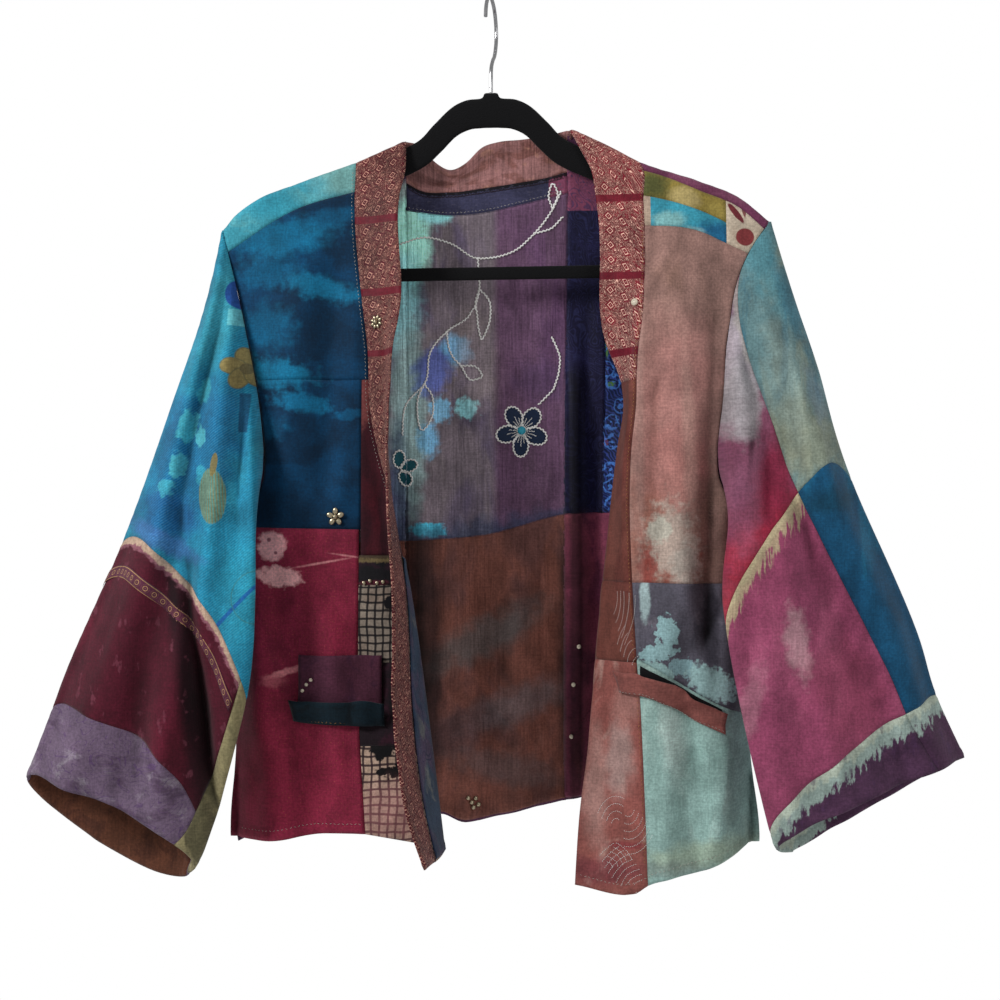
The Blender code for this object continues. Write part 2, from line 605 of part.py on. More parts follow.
TUCK = (SEAM, SEAM, SEAM, 2.0)
lining("lining_facing_strip", middle, 0, middle[2][1], 0, 9, NAVY, (SEAM, SEAM, 1.5, SEAM))
lining("lining_main", middle, middle[2][1], middle[2][2], 0, 9, MAUVE)
lining("lining_rust", middle, middle[2][2], middle[2][3], 0, 9, RUST, TUCK)
lining("lining_main_side", outer_r, 2, outer_r[2][1], 7, 10, MAUVE)
lining("lining_rust_side", outer_r, outer_r[2][1], outer_r[2][2], 7, 10, RUST, TUCK)
lining("lining_navy_side", outer_l, 2, outer_l[2][1], 0, 2, NAVY)
lining("lining_blue_side", outer_l, 2, outer_l[2][1], 2, 6, BLUE)
lining("lining_plum_side", outer_l, outer_l[2][1], outer_l[2][2], 0, 6, PLUM, TUCK)

# Back collar: x, top y, top z
COLLAR = [(-68, 3.0, -113), (-58, 6, -115), (-45, 9, -128), (-33, 11, -134), (-20, 12, -128),
          (-8, 12, -116), (6, 12, -111), (25, 10, -109.5), (45, 7, -107), (60.5, 3.0, -104)]


def collar(x, v):
    top = np.stack([x, follow(COLLAR, x, 1), follow(COLLAR, x, 2)], -1)
    foot = back(x, s_of(x, follow(NECK, x) + 1.0))
    swell = np.sin(math.pi * np.clip(v, 0, 1)) * 3.0
    out = top * (1 - v[..., None]) + foot * v[..., None]
    out[..., 1] += swell
    return out


cx, cv = np.meshgrid(np.linspace(-67.5, 60.0, 18), np.linspace(0, 1, 4))
piece("collar_back", collar, cx, cv, (0.4, 0.02), 1, BROWN)


# Sleeves
def sleeve_piece(name, side, t0, t1, w0, w1, rows, cols, colour, low=-WALL, high=WALL,
                 take=None):
    """Piece of a sleeve between shares t0, t1 of its length and w0, w1 of its round."""
    call = SLEEVE_RIGHT if side == "right" else SLEEVE_LEFT
    w, v = np.meshgrid(np.linspace(w0, w1, cols), np.linspace(0, 1, rows))

    def bound(value, at):
        return follow(value, at) if not np.isscalar(value) else np.full_like(at, float(value))
    first, last = bound(t0, w), bound(t1, w)
    if np.isscalar(t0) and t0 == 0:
        t = last * v ** 1.05
    else:
        first = first + T_GAP
        t = first * (1 - v) + last * v
    t = t - T_GAP * v ** 8 * (0 if np.isscalar(t1) else 1)
    w = w - np.sign(w) * 0.08 * (1 - ease(t / 0.28)) * np.abs(w) ** 8
    mid = call(t, w)
    n = np.cross(np.gradient(mid, axis=0), np.gradient(mid, axis=1))
    n *= (1 if side == "right" else -1) / np.linalg.norm(n, axis=-1, keepdims=True)
    if take:
        r, c = take
        mid, n = mid[r:, c:-c], n[r:, c:-c]
    verts, faces = wall(name, mid, n, low, high, colour)
    return add(name, verts, outward(verts, faces), colour)


G = 0.0055                   # gap share at the folds
T_GAP = 0.0011              # gap share at the seams round the sleeve
# Seams round each sleeve: way round, share of length
SEAM_R = [(-1, 0.66), (-0.5, 0.66), (0, 0.65), (0.3, 0.60), (0.5, 0.60), (0.8, 0.68), (1, 0.66)]
CUFF_R = [(-1, 0.94), (0, 0.93), (0.3, 0.88), (0.5, 0.86), (0.8, 0.92), (1, 0.94)]
SEAM_L = [(-1, 0.64), (-0.4, 0.655), (0, 0.655), (0.3, 0.56), (0.5, 0.555), (0.75, 0.60), (1, 0.64)]
CUFF_L = [(-1, 0.94), (0, 0.935), (0.5, 0.91), (1, 0.94)]
SPLIT_L, OLIVE_W = 0.27, 0.72

sleeve_piece("sleeve_right_front_upper", "right", 0, SEAM_R, G, 1 - G, 13, 15, TURQ)
sleeve_piece("sleeve_right_back_upper", "right", 0, SEAM_R, -1 + G, -G, 13, 10, TEAL)
sleeve_piece("sleeve_right_front_lower", "right", SEAM_R, CUFF_R, G, OLIVE_W, 6, 11, MAROON)
sleeve_piece("sleeve_right_back_lower", "right", SEAM_R, CUFF_R, -1 + G, -G, 6, 10, PLUM)
sleeve_piece("sleeve_right_olive", "right", SEAM_R, 1.0, OLIVE_W + 2 * G, 1 - G, 8, 5, OLIVE)
sleeve_piece("cuff_right_front", "right", CUFF_R, 1.0, G, OLIVE_W, 3, 11, PURPLE)
sleeve_piece("cuff_right_back", "right", CUFF_R, 1.0, -1 + G, -G, 4, 10, PURPLE)
sleeve_piece("cuff_right_facing", "right", CUFF_R, 1.0, -1 + G, -G, 4, 10, BROWN, -WALL - 1.5,
             -WALL - 0.5, (0, 1))
sleeve_piece("sleeve_left_front_upper", "left", 0, SEAM_L, SPLIT_L, 1 - G, 13, 12, MAUVE)
sleeve_piece("sleeve_left_back_upper", "left", 0, SEAM_L, -1 + G, SPLIT_L - 2 * G, 13, 12, MINT)
BELOW_L = [(a, b + 0.005) for a, b in SEAM_L]
CUFF_TOP_L = [(a, b + 0.002) for a, b in CUFF_L]
sleeve_piece("sleeve_left_front_lower", "left", BELOW_L, CUFF_L, SPLIT_L, 1 - G, 6, 12, PLUM)
sleeve_piece("sleeve_left_back_lower", "left", SEAM_L, CUFF_L, -1 + G, SPLIT_L - 2 * G, 6, 12,
             NAVY)
sleeve_piece("cuff_left_front", "left", CUFF_TOP_L, 1.0, SPLIT_L, 1 - G, 3, 12, PURPLE)
sleeve_piece("cuff_left_back", "left", CUFF_L, 1.0, -1 + G, SPLIT_L - 2 * G, 3, 12, PURPLE)

# Metal flower button on the right front
BUTTON = (-120.5, -413.0, 7.0)
bx, bs = np.array([BUTTON[0]]), s_of(np.array([BUTTON[0]]), np.array([BUTTON[1]]))
at = FRONT_R(bx, bs)[0]
out = normals(FRONT_R, bx, bs, *STEP, -1)[0]
side_v = np.cross(out, [0, 0, 1.0])
side_v /= np.linalg.norm(side_v)
up_v = np.cross(side_v, out)
verts, faces = [], []
for h in (1.5, 3.3):
    for k in range(20):
        a = 2 * math.pi * k / 20
        r = BUTTON[2] * (0.8 + 0.2 * math.cos(5 * a))
        verts.append(list(at + out * h + r * (math.cos(a) * side_v + math.sin(a) * up_v)))
faces = [[k, (k + 1) % 20, 20 + (k + 1) % 20, 20 + k] for k in range(20)]
faces += [list(range(19, -1, -1)), list(range(20, 40))]
add("flower_button", verts, outward(verts, faces), (0.6, 0.58, 0.52), 0.4, 1.0)

# Hanger: outer x z, inner x z, half of the frame from the neck round to the bar
ROLL = math.tan(math.radians(1.0))
FRAME = [(0, -74.4, 0, -102.4), (5, -74.8, 5, -102.4), (8, -78.6, 8, -102.6),
         (20, -80, 17, -103.6), (32, -86, 28, -109), (46, -99.4, 40, -121),
         (59, -112.4, 54, -133), (84, -123.5, 80, -145), (113, -133.1, 108, -155.5),
         (160, -149.6, 155, -172), (190, -163.1, 178, -183), (202, -174.6, 184, -189),
         (203.5, -185, 184, -193), (196, -199, 181, -201), (180, -215, 170, -210),
         (158, -223.4, 150, -213.4), (80, -224, 80, -213.6), (0, -224, 0, -213.6)]
HALF = 2.6                  # half of the hanger's thickness
full = FRAME + [(-a, b, -c, d) for a, b, c, d in reversed(FRAME[1:-1])]
verts, faces = [], []
for ox, oz, ix, iz in full:
    o = np.array([ox, oz + ox * ROLL])
    i = np.array([ix, iz + ix * ROLL])
    d = (i - o) / np.linalg.norm(i - o)
    for p, y in ((o, -HALF + 1.2), (o, HALF - 1.2), (o + d * 1.2, HALF), (i - d * 1.2, HALF),
                 (i, HALF - 1.2), (i, -HALF + 1.2), (i - d * 1.2, -HALF), (o + d * 1.2, -HALF)):
        verts.append((p[0], y, p[1]))
count = len(full)
for k in range(count):
    for m in range(8):
        a, b = k * 8 + m, k * 8 + (m + 1) % 8
        c, d2 = ((k + 1) % count) * 8 + (m + 1) % 8, ((k + 1) % count) * 8 + m
        faces.append([a, b, c, d2])
add("hanger_body", verts, outward(verts, faces), BLACK, 0.95)

# Hook wire: along the loop's plane, z. The plane stands 80 degrees off the front.
HOOK = [(0, -73.9), (0, -62), (1.5, -54), (8, -46.5), (16, -40.5), (22, -31), (24, -22.5),
        (22.2, -13.5), (17, -5.5), (9.2, -0.4), (0, 1.5), (-9.2, -0.4), (-17, -5.5),
        (-22.2, -13.5), (-23.6, -20)]
WIRE = 1.5
turn = math.radians(80)
path = [np.array([u * math.cos(turn), u * math.sin(turn), z]) for u, z in HOOK]
side_axis = np.array([math.sin(turn), -math.cos(turn), 0])
verts, faces = [], []
for k, p in enumerate(path):
    t = path[min(k + 1, len(path) - 1)] - path[max(k - 1, 0)]
    t /= np.linalg.norm(t)
    up = np.cross(t, side_axis)
    for m in range(8):
        a = 2 * math.pi * m / 8
        verts.append(p + WIRE * (side_axis * math.cos(a) + up * math.sin(a)))
for k in range(len(path) - 1):
    for m in range(8):
        a, b = k * 8 + m, k * 8 + (m + 1) % 8
        faces.append([a, b, b + 8, a + 8])
faces.append(list(range(7, -1, -1)))
faces.append(list(range((len(path) - 1) * 8, len(path) * 8)))
add("hanger_hook", [tuple(v) for v in verts], outward([list(v) for v in verts], faces),
    (0.7, 0.7, 0.7), 0.25, 1.0)
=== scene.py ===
# Looks of the patchwork jacket on its flocked hanger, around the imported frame.
# Tables are in millimetres of the same frame: X to the viewer's right, -Y to the viewer, +Z up.
# "right" and "left" are the wearer's: right is at -X.
import bpy
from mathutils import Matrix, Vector
import math
import numpy as np


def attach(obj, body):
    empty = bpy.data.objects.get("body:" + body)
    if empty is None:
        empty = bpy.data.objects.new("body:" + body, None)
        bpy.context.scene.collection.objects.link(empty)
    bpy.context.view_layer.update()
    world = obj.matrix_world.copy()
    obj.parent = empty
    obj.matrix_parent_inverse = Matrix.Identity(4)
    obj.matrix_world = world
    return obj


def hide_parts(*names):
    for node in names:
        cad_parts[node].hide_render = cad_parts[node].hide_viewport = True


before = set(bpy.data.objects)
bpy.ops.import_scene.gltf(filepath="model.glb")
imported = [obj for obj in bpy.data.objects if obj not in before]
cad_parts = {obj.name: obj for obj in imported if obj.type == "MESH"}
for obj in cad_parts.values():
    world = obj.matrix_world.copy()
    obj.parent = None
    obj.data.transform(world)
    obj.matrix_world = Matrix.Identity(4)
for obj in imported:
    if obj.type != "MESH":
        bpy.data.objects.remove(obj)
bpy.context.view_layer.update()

MM = 0.001
WORLD_LIGHT, KEY_POWER, FILL_POWER = 0.40, 22.0, 9.0

# Camera: level, straight in front
CAMERA_AT = (0.0072, -1.3, -0.4)
LENS, SENSOR_WIDTH = 58.5, 36.0
cam_data = bpy.data.cameras.new("camera")
cam_data.lens, cam_data.sensor_width = LENS, SENSOR_WIDTH
cam = bpy.data.objects.new("camera", cam_data)
cam.location = CAMERA_AT
cam.rotation_euler = (math.radians(90), 0, 0)
bpy.context.scene.collection.objects.link(cam)
bpy.context.scene.camera = cam

# The cloth's surfaces

RIDGE_RADIUS = 5.5          # cloth rounding over the hanger's arm
WALL = 0.75                 # half of the outer cloth's thickness
SEAM = 0.15                 # half of the gap between two pieces
BUTT = 1.8                  # gap between a sleeve and the torso edge
LAP = 2.4                   # a sleeve's lower start stands off the torso by this
BLEND = 0.42                # share of a sleeve over which the armhole fades out
FRONT_DEPTH = 40.0          # how far the fronts stand before the shoulder line, low down
BACK_DEPTH = 40.0
HANG = 190.0                # drop over which that depth is gained
SIDE_ROUND = 46.0           # width over which front and back close to the side seam


def ease(t):
    t = np.clip(t, 0.0, 1.0)
    return t * t * (3.0 - 2.0 * t)


def follow(rows, at, col=1):
    """Smooth curve through one column of a table whose first column rises or falls."""
    data = sorted(rows, key=lambda r: r[0])
    k = np.array([r[0] for r in data], float)
    v = np.array([r[col] for r in data], float)
    h = np.diff(k)
    slope = np.diff(v) / h
    m = np.empty_like(v)
    m[0], m[-1] = slope[0], slope[-1]
    m[1:-1] = (slope[:-1] * h[1:] + slope[1:] * h[:-1]) / (h[1:] + h[:-1])
    flat = slope[:-1] * slope[1:] <= 0
    m[1:-1][flat] *= 0.35
    at = np.clip(np.asarray(at, float), k[0], k[-1])
    i = np.clip(np.searchsorted(k, at, side="right") - 1, 0, len(h) - 1)
    t = (at - k[i]) / h[i]
    return ((2 * t**3 - 3 * t**2 + 1) * v[i] + (t**3 - 2 * t**2 + t) * h[i] * m[i]
            + (-2 * t**3 + 3 * t**2) * v[i + 1] + (t**3 - t**2) * h[i] * m[i + 1])


# Shoulder line: x, z
RIDGE = [(-212.8, -184.5), (-206.0, -175.5), (-192.8, -164.6), (-152.8, -147.2),
         (-106.4, -130.4), (-68.8, -114.4), (61.6, -104.8), (87.2, -114.4),
         (119.2, -130.5), (167.2, -146.2), (199.2, -159.6), (221.6, -177.6)]

# Free side of each torso half, armhole then side seam: z, front x, back x
SIDE_R = [(-184, -212.8, -212.8), (-204, -207.9, -207.0), (-266, -193.1, -200.0),
          (-337, -178.7, -197.0), (-366, -176.0, -197.5), (-386, -177.5, -199.0),
          (-408, -189.0, -201.0), (-424, -202.0, -202.0), (-478, -202.5, -202.5),
          (-675, -202.0, -202.0)]
SIDE_L = [(-177, 221.6, 221.6), (-196, 208.0, 214.0), (-218, 197.0, 208.0),
          (-266, 186.0, 203.0), (-322, 181.0, 200.0), (-366, 176.5, 200.0),
          (-386, 178.5, 202.0), (-408, 191.5, 204.5), (-424, 206.5, 206.5),
          (-478, 206.5, 206.5), (-675, 204.5, 204.5)]
SIDE_SEAM = {"right": -202.5, "left": 206.5}
UNDERARM_Z = -424.0

# Front edges: z, line where the turn starts (x), turn (degrees, + to the viewer),
# cloth from there to the band seam, band width
EDGE_R = [(-114, -107.6, 0, 0, 40), (-133, -107.6, 2, 0, 40), (-162, -108.1, 22, 0, 38),
          (-243, -101.4, 42, 0, 38), (-282, -96.5, 70, 0, 38), (-322, -95.0, 80, 0, 38),
          (-361, -92.7, 88, 5, 38), (-400, -88.5, 93, 14, 37), (-478, -73.0, 102, 32, 36),
          (-555, -61.5, 109, 46, 34), (-632, -52.0, 106, 52, 34), (-680, -47.0, 97, 52, 34)]
EDGE_L = [(-104, 87.2, 0, 0, 25), (-131, 118.8, -4, 0, 42), (-162, 120.9, -14, 0, 38),
          (-210, 121.7, -12, 0, 36), (-232, 120.6, -16, 0, 36), (-256, 119.0, -34, 0, 37),
          (-282, 115.5, -62, 0, 38), (-306, 114.0, -82, 0, 38), (-322, 113.6, -86, 0, 38),
          (-361, 109.5, -84, 0, 38), (-400, 108.0, -77, 0, 38), (-446, 109.0, -67, 0, 39),
          (-478, 110.5, -58, 0, 40), (-528, 113.5, -47, 0, 43), (-555, 115.7, -42, 0, 46),
          (-601, 117.9, -33, 0, 49), (-655, 120.2, -12, 0, 53), (-706, 121.7, 0, 0, 57)]
TURN_R, TURN_L = 20.0, 7.0  # cloth used up by the turn itself

# Hems: x, z (front halves and the back)
HEM_R = [(-203, -668.5), (-174, -665.4), (-124, -657.7), (-70, -661.0), (-48, -667.5),
         (40, -668.5)]
HEM_L = [(55, -697.0), (62, -697.5), (111, -705.0), (120, -699.5), (162, -688.0),
         (207, -673.0)]
HEM_B = [(-203, -672.0), (-120, -662.0), (-42, -659.0), (-21, -666.0), (7, -660.0),
         (48, -651.0), (76, -644.5), (130, -655.0), (207, -676.0)]

# Vertical folds: x and z at the top, x and z at the foot, height (+ outwards), half width
FOLDS_R = [
    (-196, -300, -180, -600, 7, 10), (-150, -200, -160, -420, 5, 16),
    (-168, -430, -150, -655, -6, 12), (-120, -190, -128, -390, -4, 12),
    (-128, -470, -112, -660, 6, 13), (-100, -540, -96, -665, 4, 8)]
FOLDS_L = [
    (176, -200, 168, -520, -8, 8), (150, -180, 148, -500, 5, 14),
    (131, -230, 128, -470, -3, 9), (190, -470, 188, -670, 7, 12),
    (150, -480, 158, -690, -5, 12), (132, -560, 136, -700, 4, 9), (192, -230, 186, -420, 5, 8)]
FOLDS_B = [
    (-62, -350, -56, -655, -9, 9), (-20, -430, -14, -655, 6, 13), (12, -440, 18, -655, -5, 10),
    (44, -420, 48, -645, 6, 10), (68, -250, 70, -650, -11, 7), (88, -300, 90, -640, 6, 9),
    (-150, -300, -150, -660, 5, 16), (150, -300, 150, -660, 5, 16), (-34, -190, -30, -360, 3, 10),
    (30, -170, 24, -380, 3, 12), (110, -300, 110, -650, -6, 10), (-100, -260, -100, -650, -5, 14)]


def folds(rows, x, z):
    out = np.zeros(np.broadcast(x, z).shape)
    for x0, z0, x1, z1, height, half in rows:
        t = (z0 - z) / (z0 - z1)
        line = x0 + (x1 - x0) * t
        live = ease(t / 0.22) * ease((1.08 - t) / 0.16)
        out += height * live * np.exp(-((x - line) / half) ** 2)
    return out


def ridge_z(x):
    return follow(RIDGE, x)


def drop_to_s(drop):
    """Length along the cloth for a drop below the shoulder line."""
    r = RIDGE_RADIUS
    d = np.clip(drop, 0, r)
    return np.where(drop < r, r * np.arccos(1 - d / r), drop - r + math.pi * r / 2)


def s_of(x, z):
    return drop_to_s(ridge_z(x) - z)


def z_of(x, s):
    r = RIDGE_RADIUS
    quarter = math.pi * r / 2
    a = np.abs(s)
    return ridge_z(x) - np.where(a < quarter, r * (1 - np.cos(np.minimum(a, quarter) / r)),
                                 a - quarter + r)


def side_close(x, z, side):
    """0 at the side seam, 1 once the cloth lies flat; also its share of the top part."""
    seam = SIDE_SEAM[side]
    u = np.clip((x - seam) / SIDE_ROUND * (1 if side == "right" else -1), 0, 1)
    full = 1 - (1 - u) ** 2
    low = ease((-350.0 - z) / 60.0)
    return full, 1 - low * (1 - full)


def torso_depth(x, s, z, depth):
    r = RIDGE_RADIUS
    a = np.abs(s)
    quarter = math.pi * r / 2
    near = r * np.sin(np.minimum(a, quarter) / r)
    grown = depth * (1 - np.exp(-np.maximum(a - quarter, 0) / HANG))
    p_r, q_r = side_close(x, z, "right")
    p_l, q_l = side_close(x, z, "left")
    return near * q_r * q_l + grown * p_r * p_l


def front(side):
    edge, turn_len = (EDGE_R, TURN_R) if side == "right" else (EDGE_L, TURN_L)
    rows = FOLDS_R if side == "right" else FOLDS_L
    way = 1.0 if side == "right" else -1.0

    def surface(x, s):
        z_flat = z_of(x, s)
        start = follow(edge, z_flat, 1)
        turn = np.radians(follow(edge, z_flat, 2)) * ease(s / 16.0)
        turn = np.where(np.abs(turn) < 1e-4, 1e-4, turn)
        over = (x - start) * way
        inner = np.where(over > 0, start, x)
        z = z_of(inner, s)
        y = -torso_depth(inner, s, z, FRONT_DEPTH)
        y = np.where(s < 0, -y, y)
        y = y - folds(rows, inner, z) * ease(s / 40.0)
        over = np.maximum(over, 0)
        radius = turn_len / turn
        on_arc = np.minimum(over, turn_len)
        past = over - on_arc
        angle = on_arc / radius
        across = radius * np.sin(angle) + past * np.cos(turn)
        forward = radius * (1 - np.cos(angle)) + past * np.sin(turn)
        return np.stack([inner + way * across, y - forward, z_flat], -1)
    return surface


def back(x, s):
    z = z_of(x, s)
    y = torso_depth(x, s, z, BACK_DEPTH) + folds(FOLDS_B, x, z) * ease(s / 40.0)
    return np.stack([x, y, z], -1)


# Sleeves, one row per section down the sleeve:
# share of the length, outer fold x y z, inner fold x y z, front belly, back belly,
# lift of the front edge, drop of the back edge, swing of the front over the torso
SLEEVE_R = [
    (0.00, -214.6, 0, -184.5, -205, 0, -424, 12, 12, 0, 0, 24),
    (0.20, -229.0, -4, -248, -208, -20, -450, 26, 22, 0, 0, 34),
    (0.40, -251.0, -9, -320, -212, -36, -490, 30, 22, 0, 0, 40),
    (0.65, -291.0, -16, -436, -214, -46, -548, 34, 24, 0, 0, 43),
    (0.85, -333.0, -22, -535, -222, -52, -628, 34, 22, 3, 0, 31),
    (0.94, -346.0, -25, -572, -228, -54, -672, 33, 22, 9, 6, 20),
    (1.00, -363.0, -28, -618, -232, -54, -686, 32, 22, 20, 20, 14)]
SLEEVE_L = [
    (0.00, 223.4, 0, -177.6, 209, 0, -424, 12, 12, 0, 0, 26),
    (0.20, 243.0, -4, -238, 213, -20, -448, 26, 22, 0, 0, 36),
    (0.40, 259.0, -9, -296, 216, -34, -482, 30, 22, 0, 0, 47),
    (0.65, 284.0, -15, -384, 219, -45, -520, 34, 24, 0, 0, 50),
    (0.85, 336.0, -20, -508, 226, -52, -618, 34, 22, 2, 0, 38),
    (0.94, 350.0, -25, -557, 229, -54, -660, 33, 22, 4, 2, 29),
    (1.00, 370.0, -28, -602, 231, -54, -670, 32, 22, 10, 4, 26)]

# Sleeve folds: share of length and of the way round at both ends, height, half width
SLEEVE_FOLDS_R = [
    (0.02, 0.10, 0.62, 0.32, 9, 0.07), (0.05, 0.22, 1.00, 0.52, -12, 0.06),
    (0.10, 0.36, 1.00, 0.58, 8, 0.07), (0.12, 0.50, 0.90, 0.64, -4, 0.06),
    (0.55, 0.12, 1.05, 0.16, -7, 0.06), (0.60, 0.28, 1.05, 0.36, 7, 0.07)]
SLEEVE_FOLDS_L = [
    (0.02, 0.30, 0.98, 0.24, 9, 0.06), (0.04, 0.42, 0.92, 0.40, -11, 0.05),
    (0.08, 0.60, 0.80, 0.56, 6, 0.07), (0.50, 0.60, 1.05, 0.60, -4, 0.06),
    (0.55, 0.12, 1.05, 0.12, -7, 0.06)]


def sleeve(side):
    rows = SLEEVE_R if side == "right" else SLEEVE_L
    crease = SLEEVE_FOLDS_R if side == "right" else SLEEVE_FOLDS_L
    edge = SIDE_R if side == "right" else SIDE_L
    way = 1.0 if side == "right" else -1.0
    panel = front(side)
    top_x = edge[0][1] - BUTT * way
    top_z = float(ridge_z(np.array(top_x)))

    def armhole(share, face):
        """Start of the sleeve, just outside the torso's edge, top to underarm."""
        z = top_z + (UNDERARM_Z - top_z) * share
        x = follow(edge, z, 1 if face > 0 else 2)
        s = drop_to_s(np.maximum(ridge_z(x) - z, 0.0))
        p = (panel if face > 0 else back)(x, s)
        p[..., 0] -= way * (BUTT + 2.2 * ease((share - 0.7) / 0.25))
        p[..., 1] -= face * LAP * ease((share - 0.4) / 0.3)
        p[..., 1] *= np.clip((1 - share) / 0.05, 0, 1)
        return p

    def surface(t, w):
        """w runs -1..1: 0 outer fold, +1 and -1 inner fold, + is the front."""
        t, w = np.broadcast_arrays(np.asarray(t, float), np.asarray(w, float))
        outer = np.stack([follow(rows, t, c) for c in (1, 2, 3)], -1)
        inner = np.stack([follow(rows, t, c) for c in (4, 5, 6)], -1)
        a = np.abs(w)
        sine = np.sin(math.pi * a)
        share = (1 - np.cos(math.pi * a)) / 2
        body = outer + (inner - outer) * share[..., None]
        fore = w >= 0
        belly = np.where(fore, -follow(rows, t, 7), follow(rows, t, 8))
        belly = belly * sine * (1 + 0.18 * np.sin(2 * math.pi * a))
        rise = np.where(fore, follow(rows, t, 9), -follow(rows, t, 10)) * sine
        over = follow(rows, t, 11) * np.sin(math.pi * a ** 2.2) * np.where(fore, 1.0, 0.0)
        belly = belly - over * (0.62 + 0.5 * (1 - ease(t / 0.5)))
        over = over + 8 * (1 - ease(t / 0.3)) * sine * np.where(fore, 1.0, -1.0)
        body = body + np.stack([rise * 0.3 * way + over * way, belly, rise], -1)
        for t0, w0, t1, w1, height, half in crease:
            k = np.clip((t - t0) / (t1 - t0), 0, 1)
            line = w0 + (w1 - w0) * k
            live = ease(k / 0.2) * ease((1.15 - k) / 0.3)
            lift = height * live * np.exp(-((w - line) / half) ** 2)
            body[..., 1] -= lift * np.minimum(1.0, 1.25 * sine)
        ring = np.where(fore[..., None], armhole(share, 1), armhole(share, -1))
        quick = np.sin(math.pi / 2 * np.clip(t / BLEND, 0, 1))
        forth = np.sin(math.pi / 2 * np.clip(t / (0.7 * BLEND), 0, 1))
        across = quick * (1 - share) + ease(t / BLEND) * share
        k = np.stack([across, forth, (across + forth) / 2], -1)
        return ring * (1 - k) + body * k
    return surface


FRONT_R, FRONT_L = front("right"), front("left")
SLEEVE_RIGHT, SLEEVE_LEFT = sleeve("right"), sleeve("left")


def line(value, rows_key):
    """A bound given as a number or as a table of (place, value)."""
    if callable(value):
        return value(rows_key)
    if np.isscalar(value):
        return np.full_like(rows_key, float(value))
    return follow(value, rows_key)


RIM_S = -4.8                # the fronts pass over the shoulder line by this much
SEAM_IN = (0.03,) * 4


def panel_grid(left, right, top, foot, cols, rows, inset):
    """Grid of (x, s) between side lines x(z) and top and foot lines z(x)."""
    u = np.linspace(0, 1, cols)[None, :]
    v = np.linspace(0, 1, rows)[:, None]
    x = np.full((rows, cols), 0.0)
    z = np.full((rows, cols), -300.0)
    x = line(left, z) * (1 - u) + line(right, z) * u
    for _ in range(12):
        z_top = ridge_z(x) - 2.0 if top is None else line(top, x)
        z_foot = line(foot, x)
        z = z_top * (1 - v) + z_foot * v
        lo, hi = line(left, z) + inset[0], line(right, z) - inset[1]
        x = lo * (1 - u) + hi * u
    s_foot = s_of(x, line(foot, x)) - inset[3]
    if top is None:
        s = np.full((rows, cols), 20.0)
        for _ in range(10):
            zz = z_of(x, s)
            lo, hi = line(left, zz) + inset[0], line(right, zz) - inset[1]
            x = lo * (1 - u) + hi * u
            s_foot = (s_of(x, line(foot, x)) - inset[3])[-1:]
            s = RIM_S + (s_foot - RIM_S) * v ** 1.2
    else:
        s_top = s_of(x, line(top, x)) + inset[2]
        s = s_top * (1 - v) + s_foot * v
    return x, s


def net(cols, marks, counts, start):
    """Grid of (x, s) whose columns follow x(z) lines and whose rows follow z(x) lines.

    The first mark may be None, the shoulder line. Returns the grid and the rows of marks."""
    n = len(cols)
    x = np.zeros((len(marks), n))
    z = np.full((len(marks), n), -300.0)
    for _ in range(14):
        x = np.stack([line(c, z[:, i]) for i, c in enumerate(cols)], 1)
        z = np.stack([z_of(x[k], np.full(n, start)) if m is None else line(m, x[k])
                      for k, m in enumerate(marks)])
    s_mark = np.stack([np.full(n, start) if m is None else s_of(x[k], z[k])
                       for k, m in enumerate(marks)])
    rows, at = [], [0]
    for k, count in enumerate(counts):
        for j in range(count):
            rows.append(s_mark[k] + (s_mark[k + 1] - s_mark[k]) * (j / count) ** (
                1.35 if marks[k] is None else 1.0))
        at.append(len(rows))
    rows.append(s_mark[-1])
    s = np.stack(rows)
    x = np.broadcast_to(x[:1], s.shape).copy()
    for _ in range(14):
        x = np.stack([line(c, z_of(x[:, i], s[:, i])) for i, c in enumerate(cols)], 1)
    return x, s, at


def cut(grid, r0, r1, c0, c1, inset):
    x, s = grid[0][r0:r1 + 1, c0:c1 + 1].copy(), grid[1][r0:r1 + 1, c0:c1 + 1].copy()
    x[:, 0] += inset[0]
    x[:, -1] -= inset[1]
    s[0] += inset[2]
    s[-1] -= inset[3]
    return x, s


def own_side(p, way):
    """Keeps the cloth below the underarm behind (+1) or before (-1) the side seam's plane."""
    q = p.copy()
    low = q[..., 2] < UNDERARM_Z + 4
    q[..., 1] = np.where(low, way * np.maximum(way * q[..., 1], SEAM), q[..., 1])
    return q


def seam_r(z):
    """Band seam of the right front, laid flat."""
    return follow(EDGE_R, z, 1) + follow(EDGE_R, z, 3)


def free_r(z):
    return seam_r(z) + follow(EDGE_R, z, 4)


def seam_l(z):
    return follow(EDGE_L, z, 1)


def free_l(z):
    return seam_l(z) - follow(EDGE_L, z, 4)


# Patch lines: z against x, or x against z
YOKE_R = [(-212, -204), (-152, -168), (-107, -155)]
CHEST_R = [(-206, -421), (-101, -423)]
STRIP_IN = [(-300, -100.8), (-361, -101), (-423, -101), (-455, -101)]
CHECK_IN = [(-440, -102.5), (-530, -102.8), (-668, -96)]
MID_CHEST = [(-206, -306), (-94, -306)]
PLUM_FOOT = [(-104, -443), (-50, -443)]


def near_edge(share):
    return lambda z: (follow(EDGE_R, z, 1) - 5) * (1 - share) + seam_r(z) * share


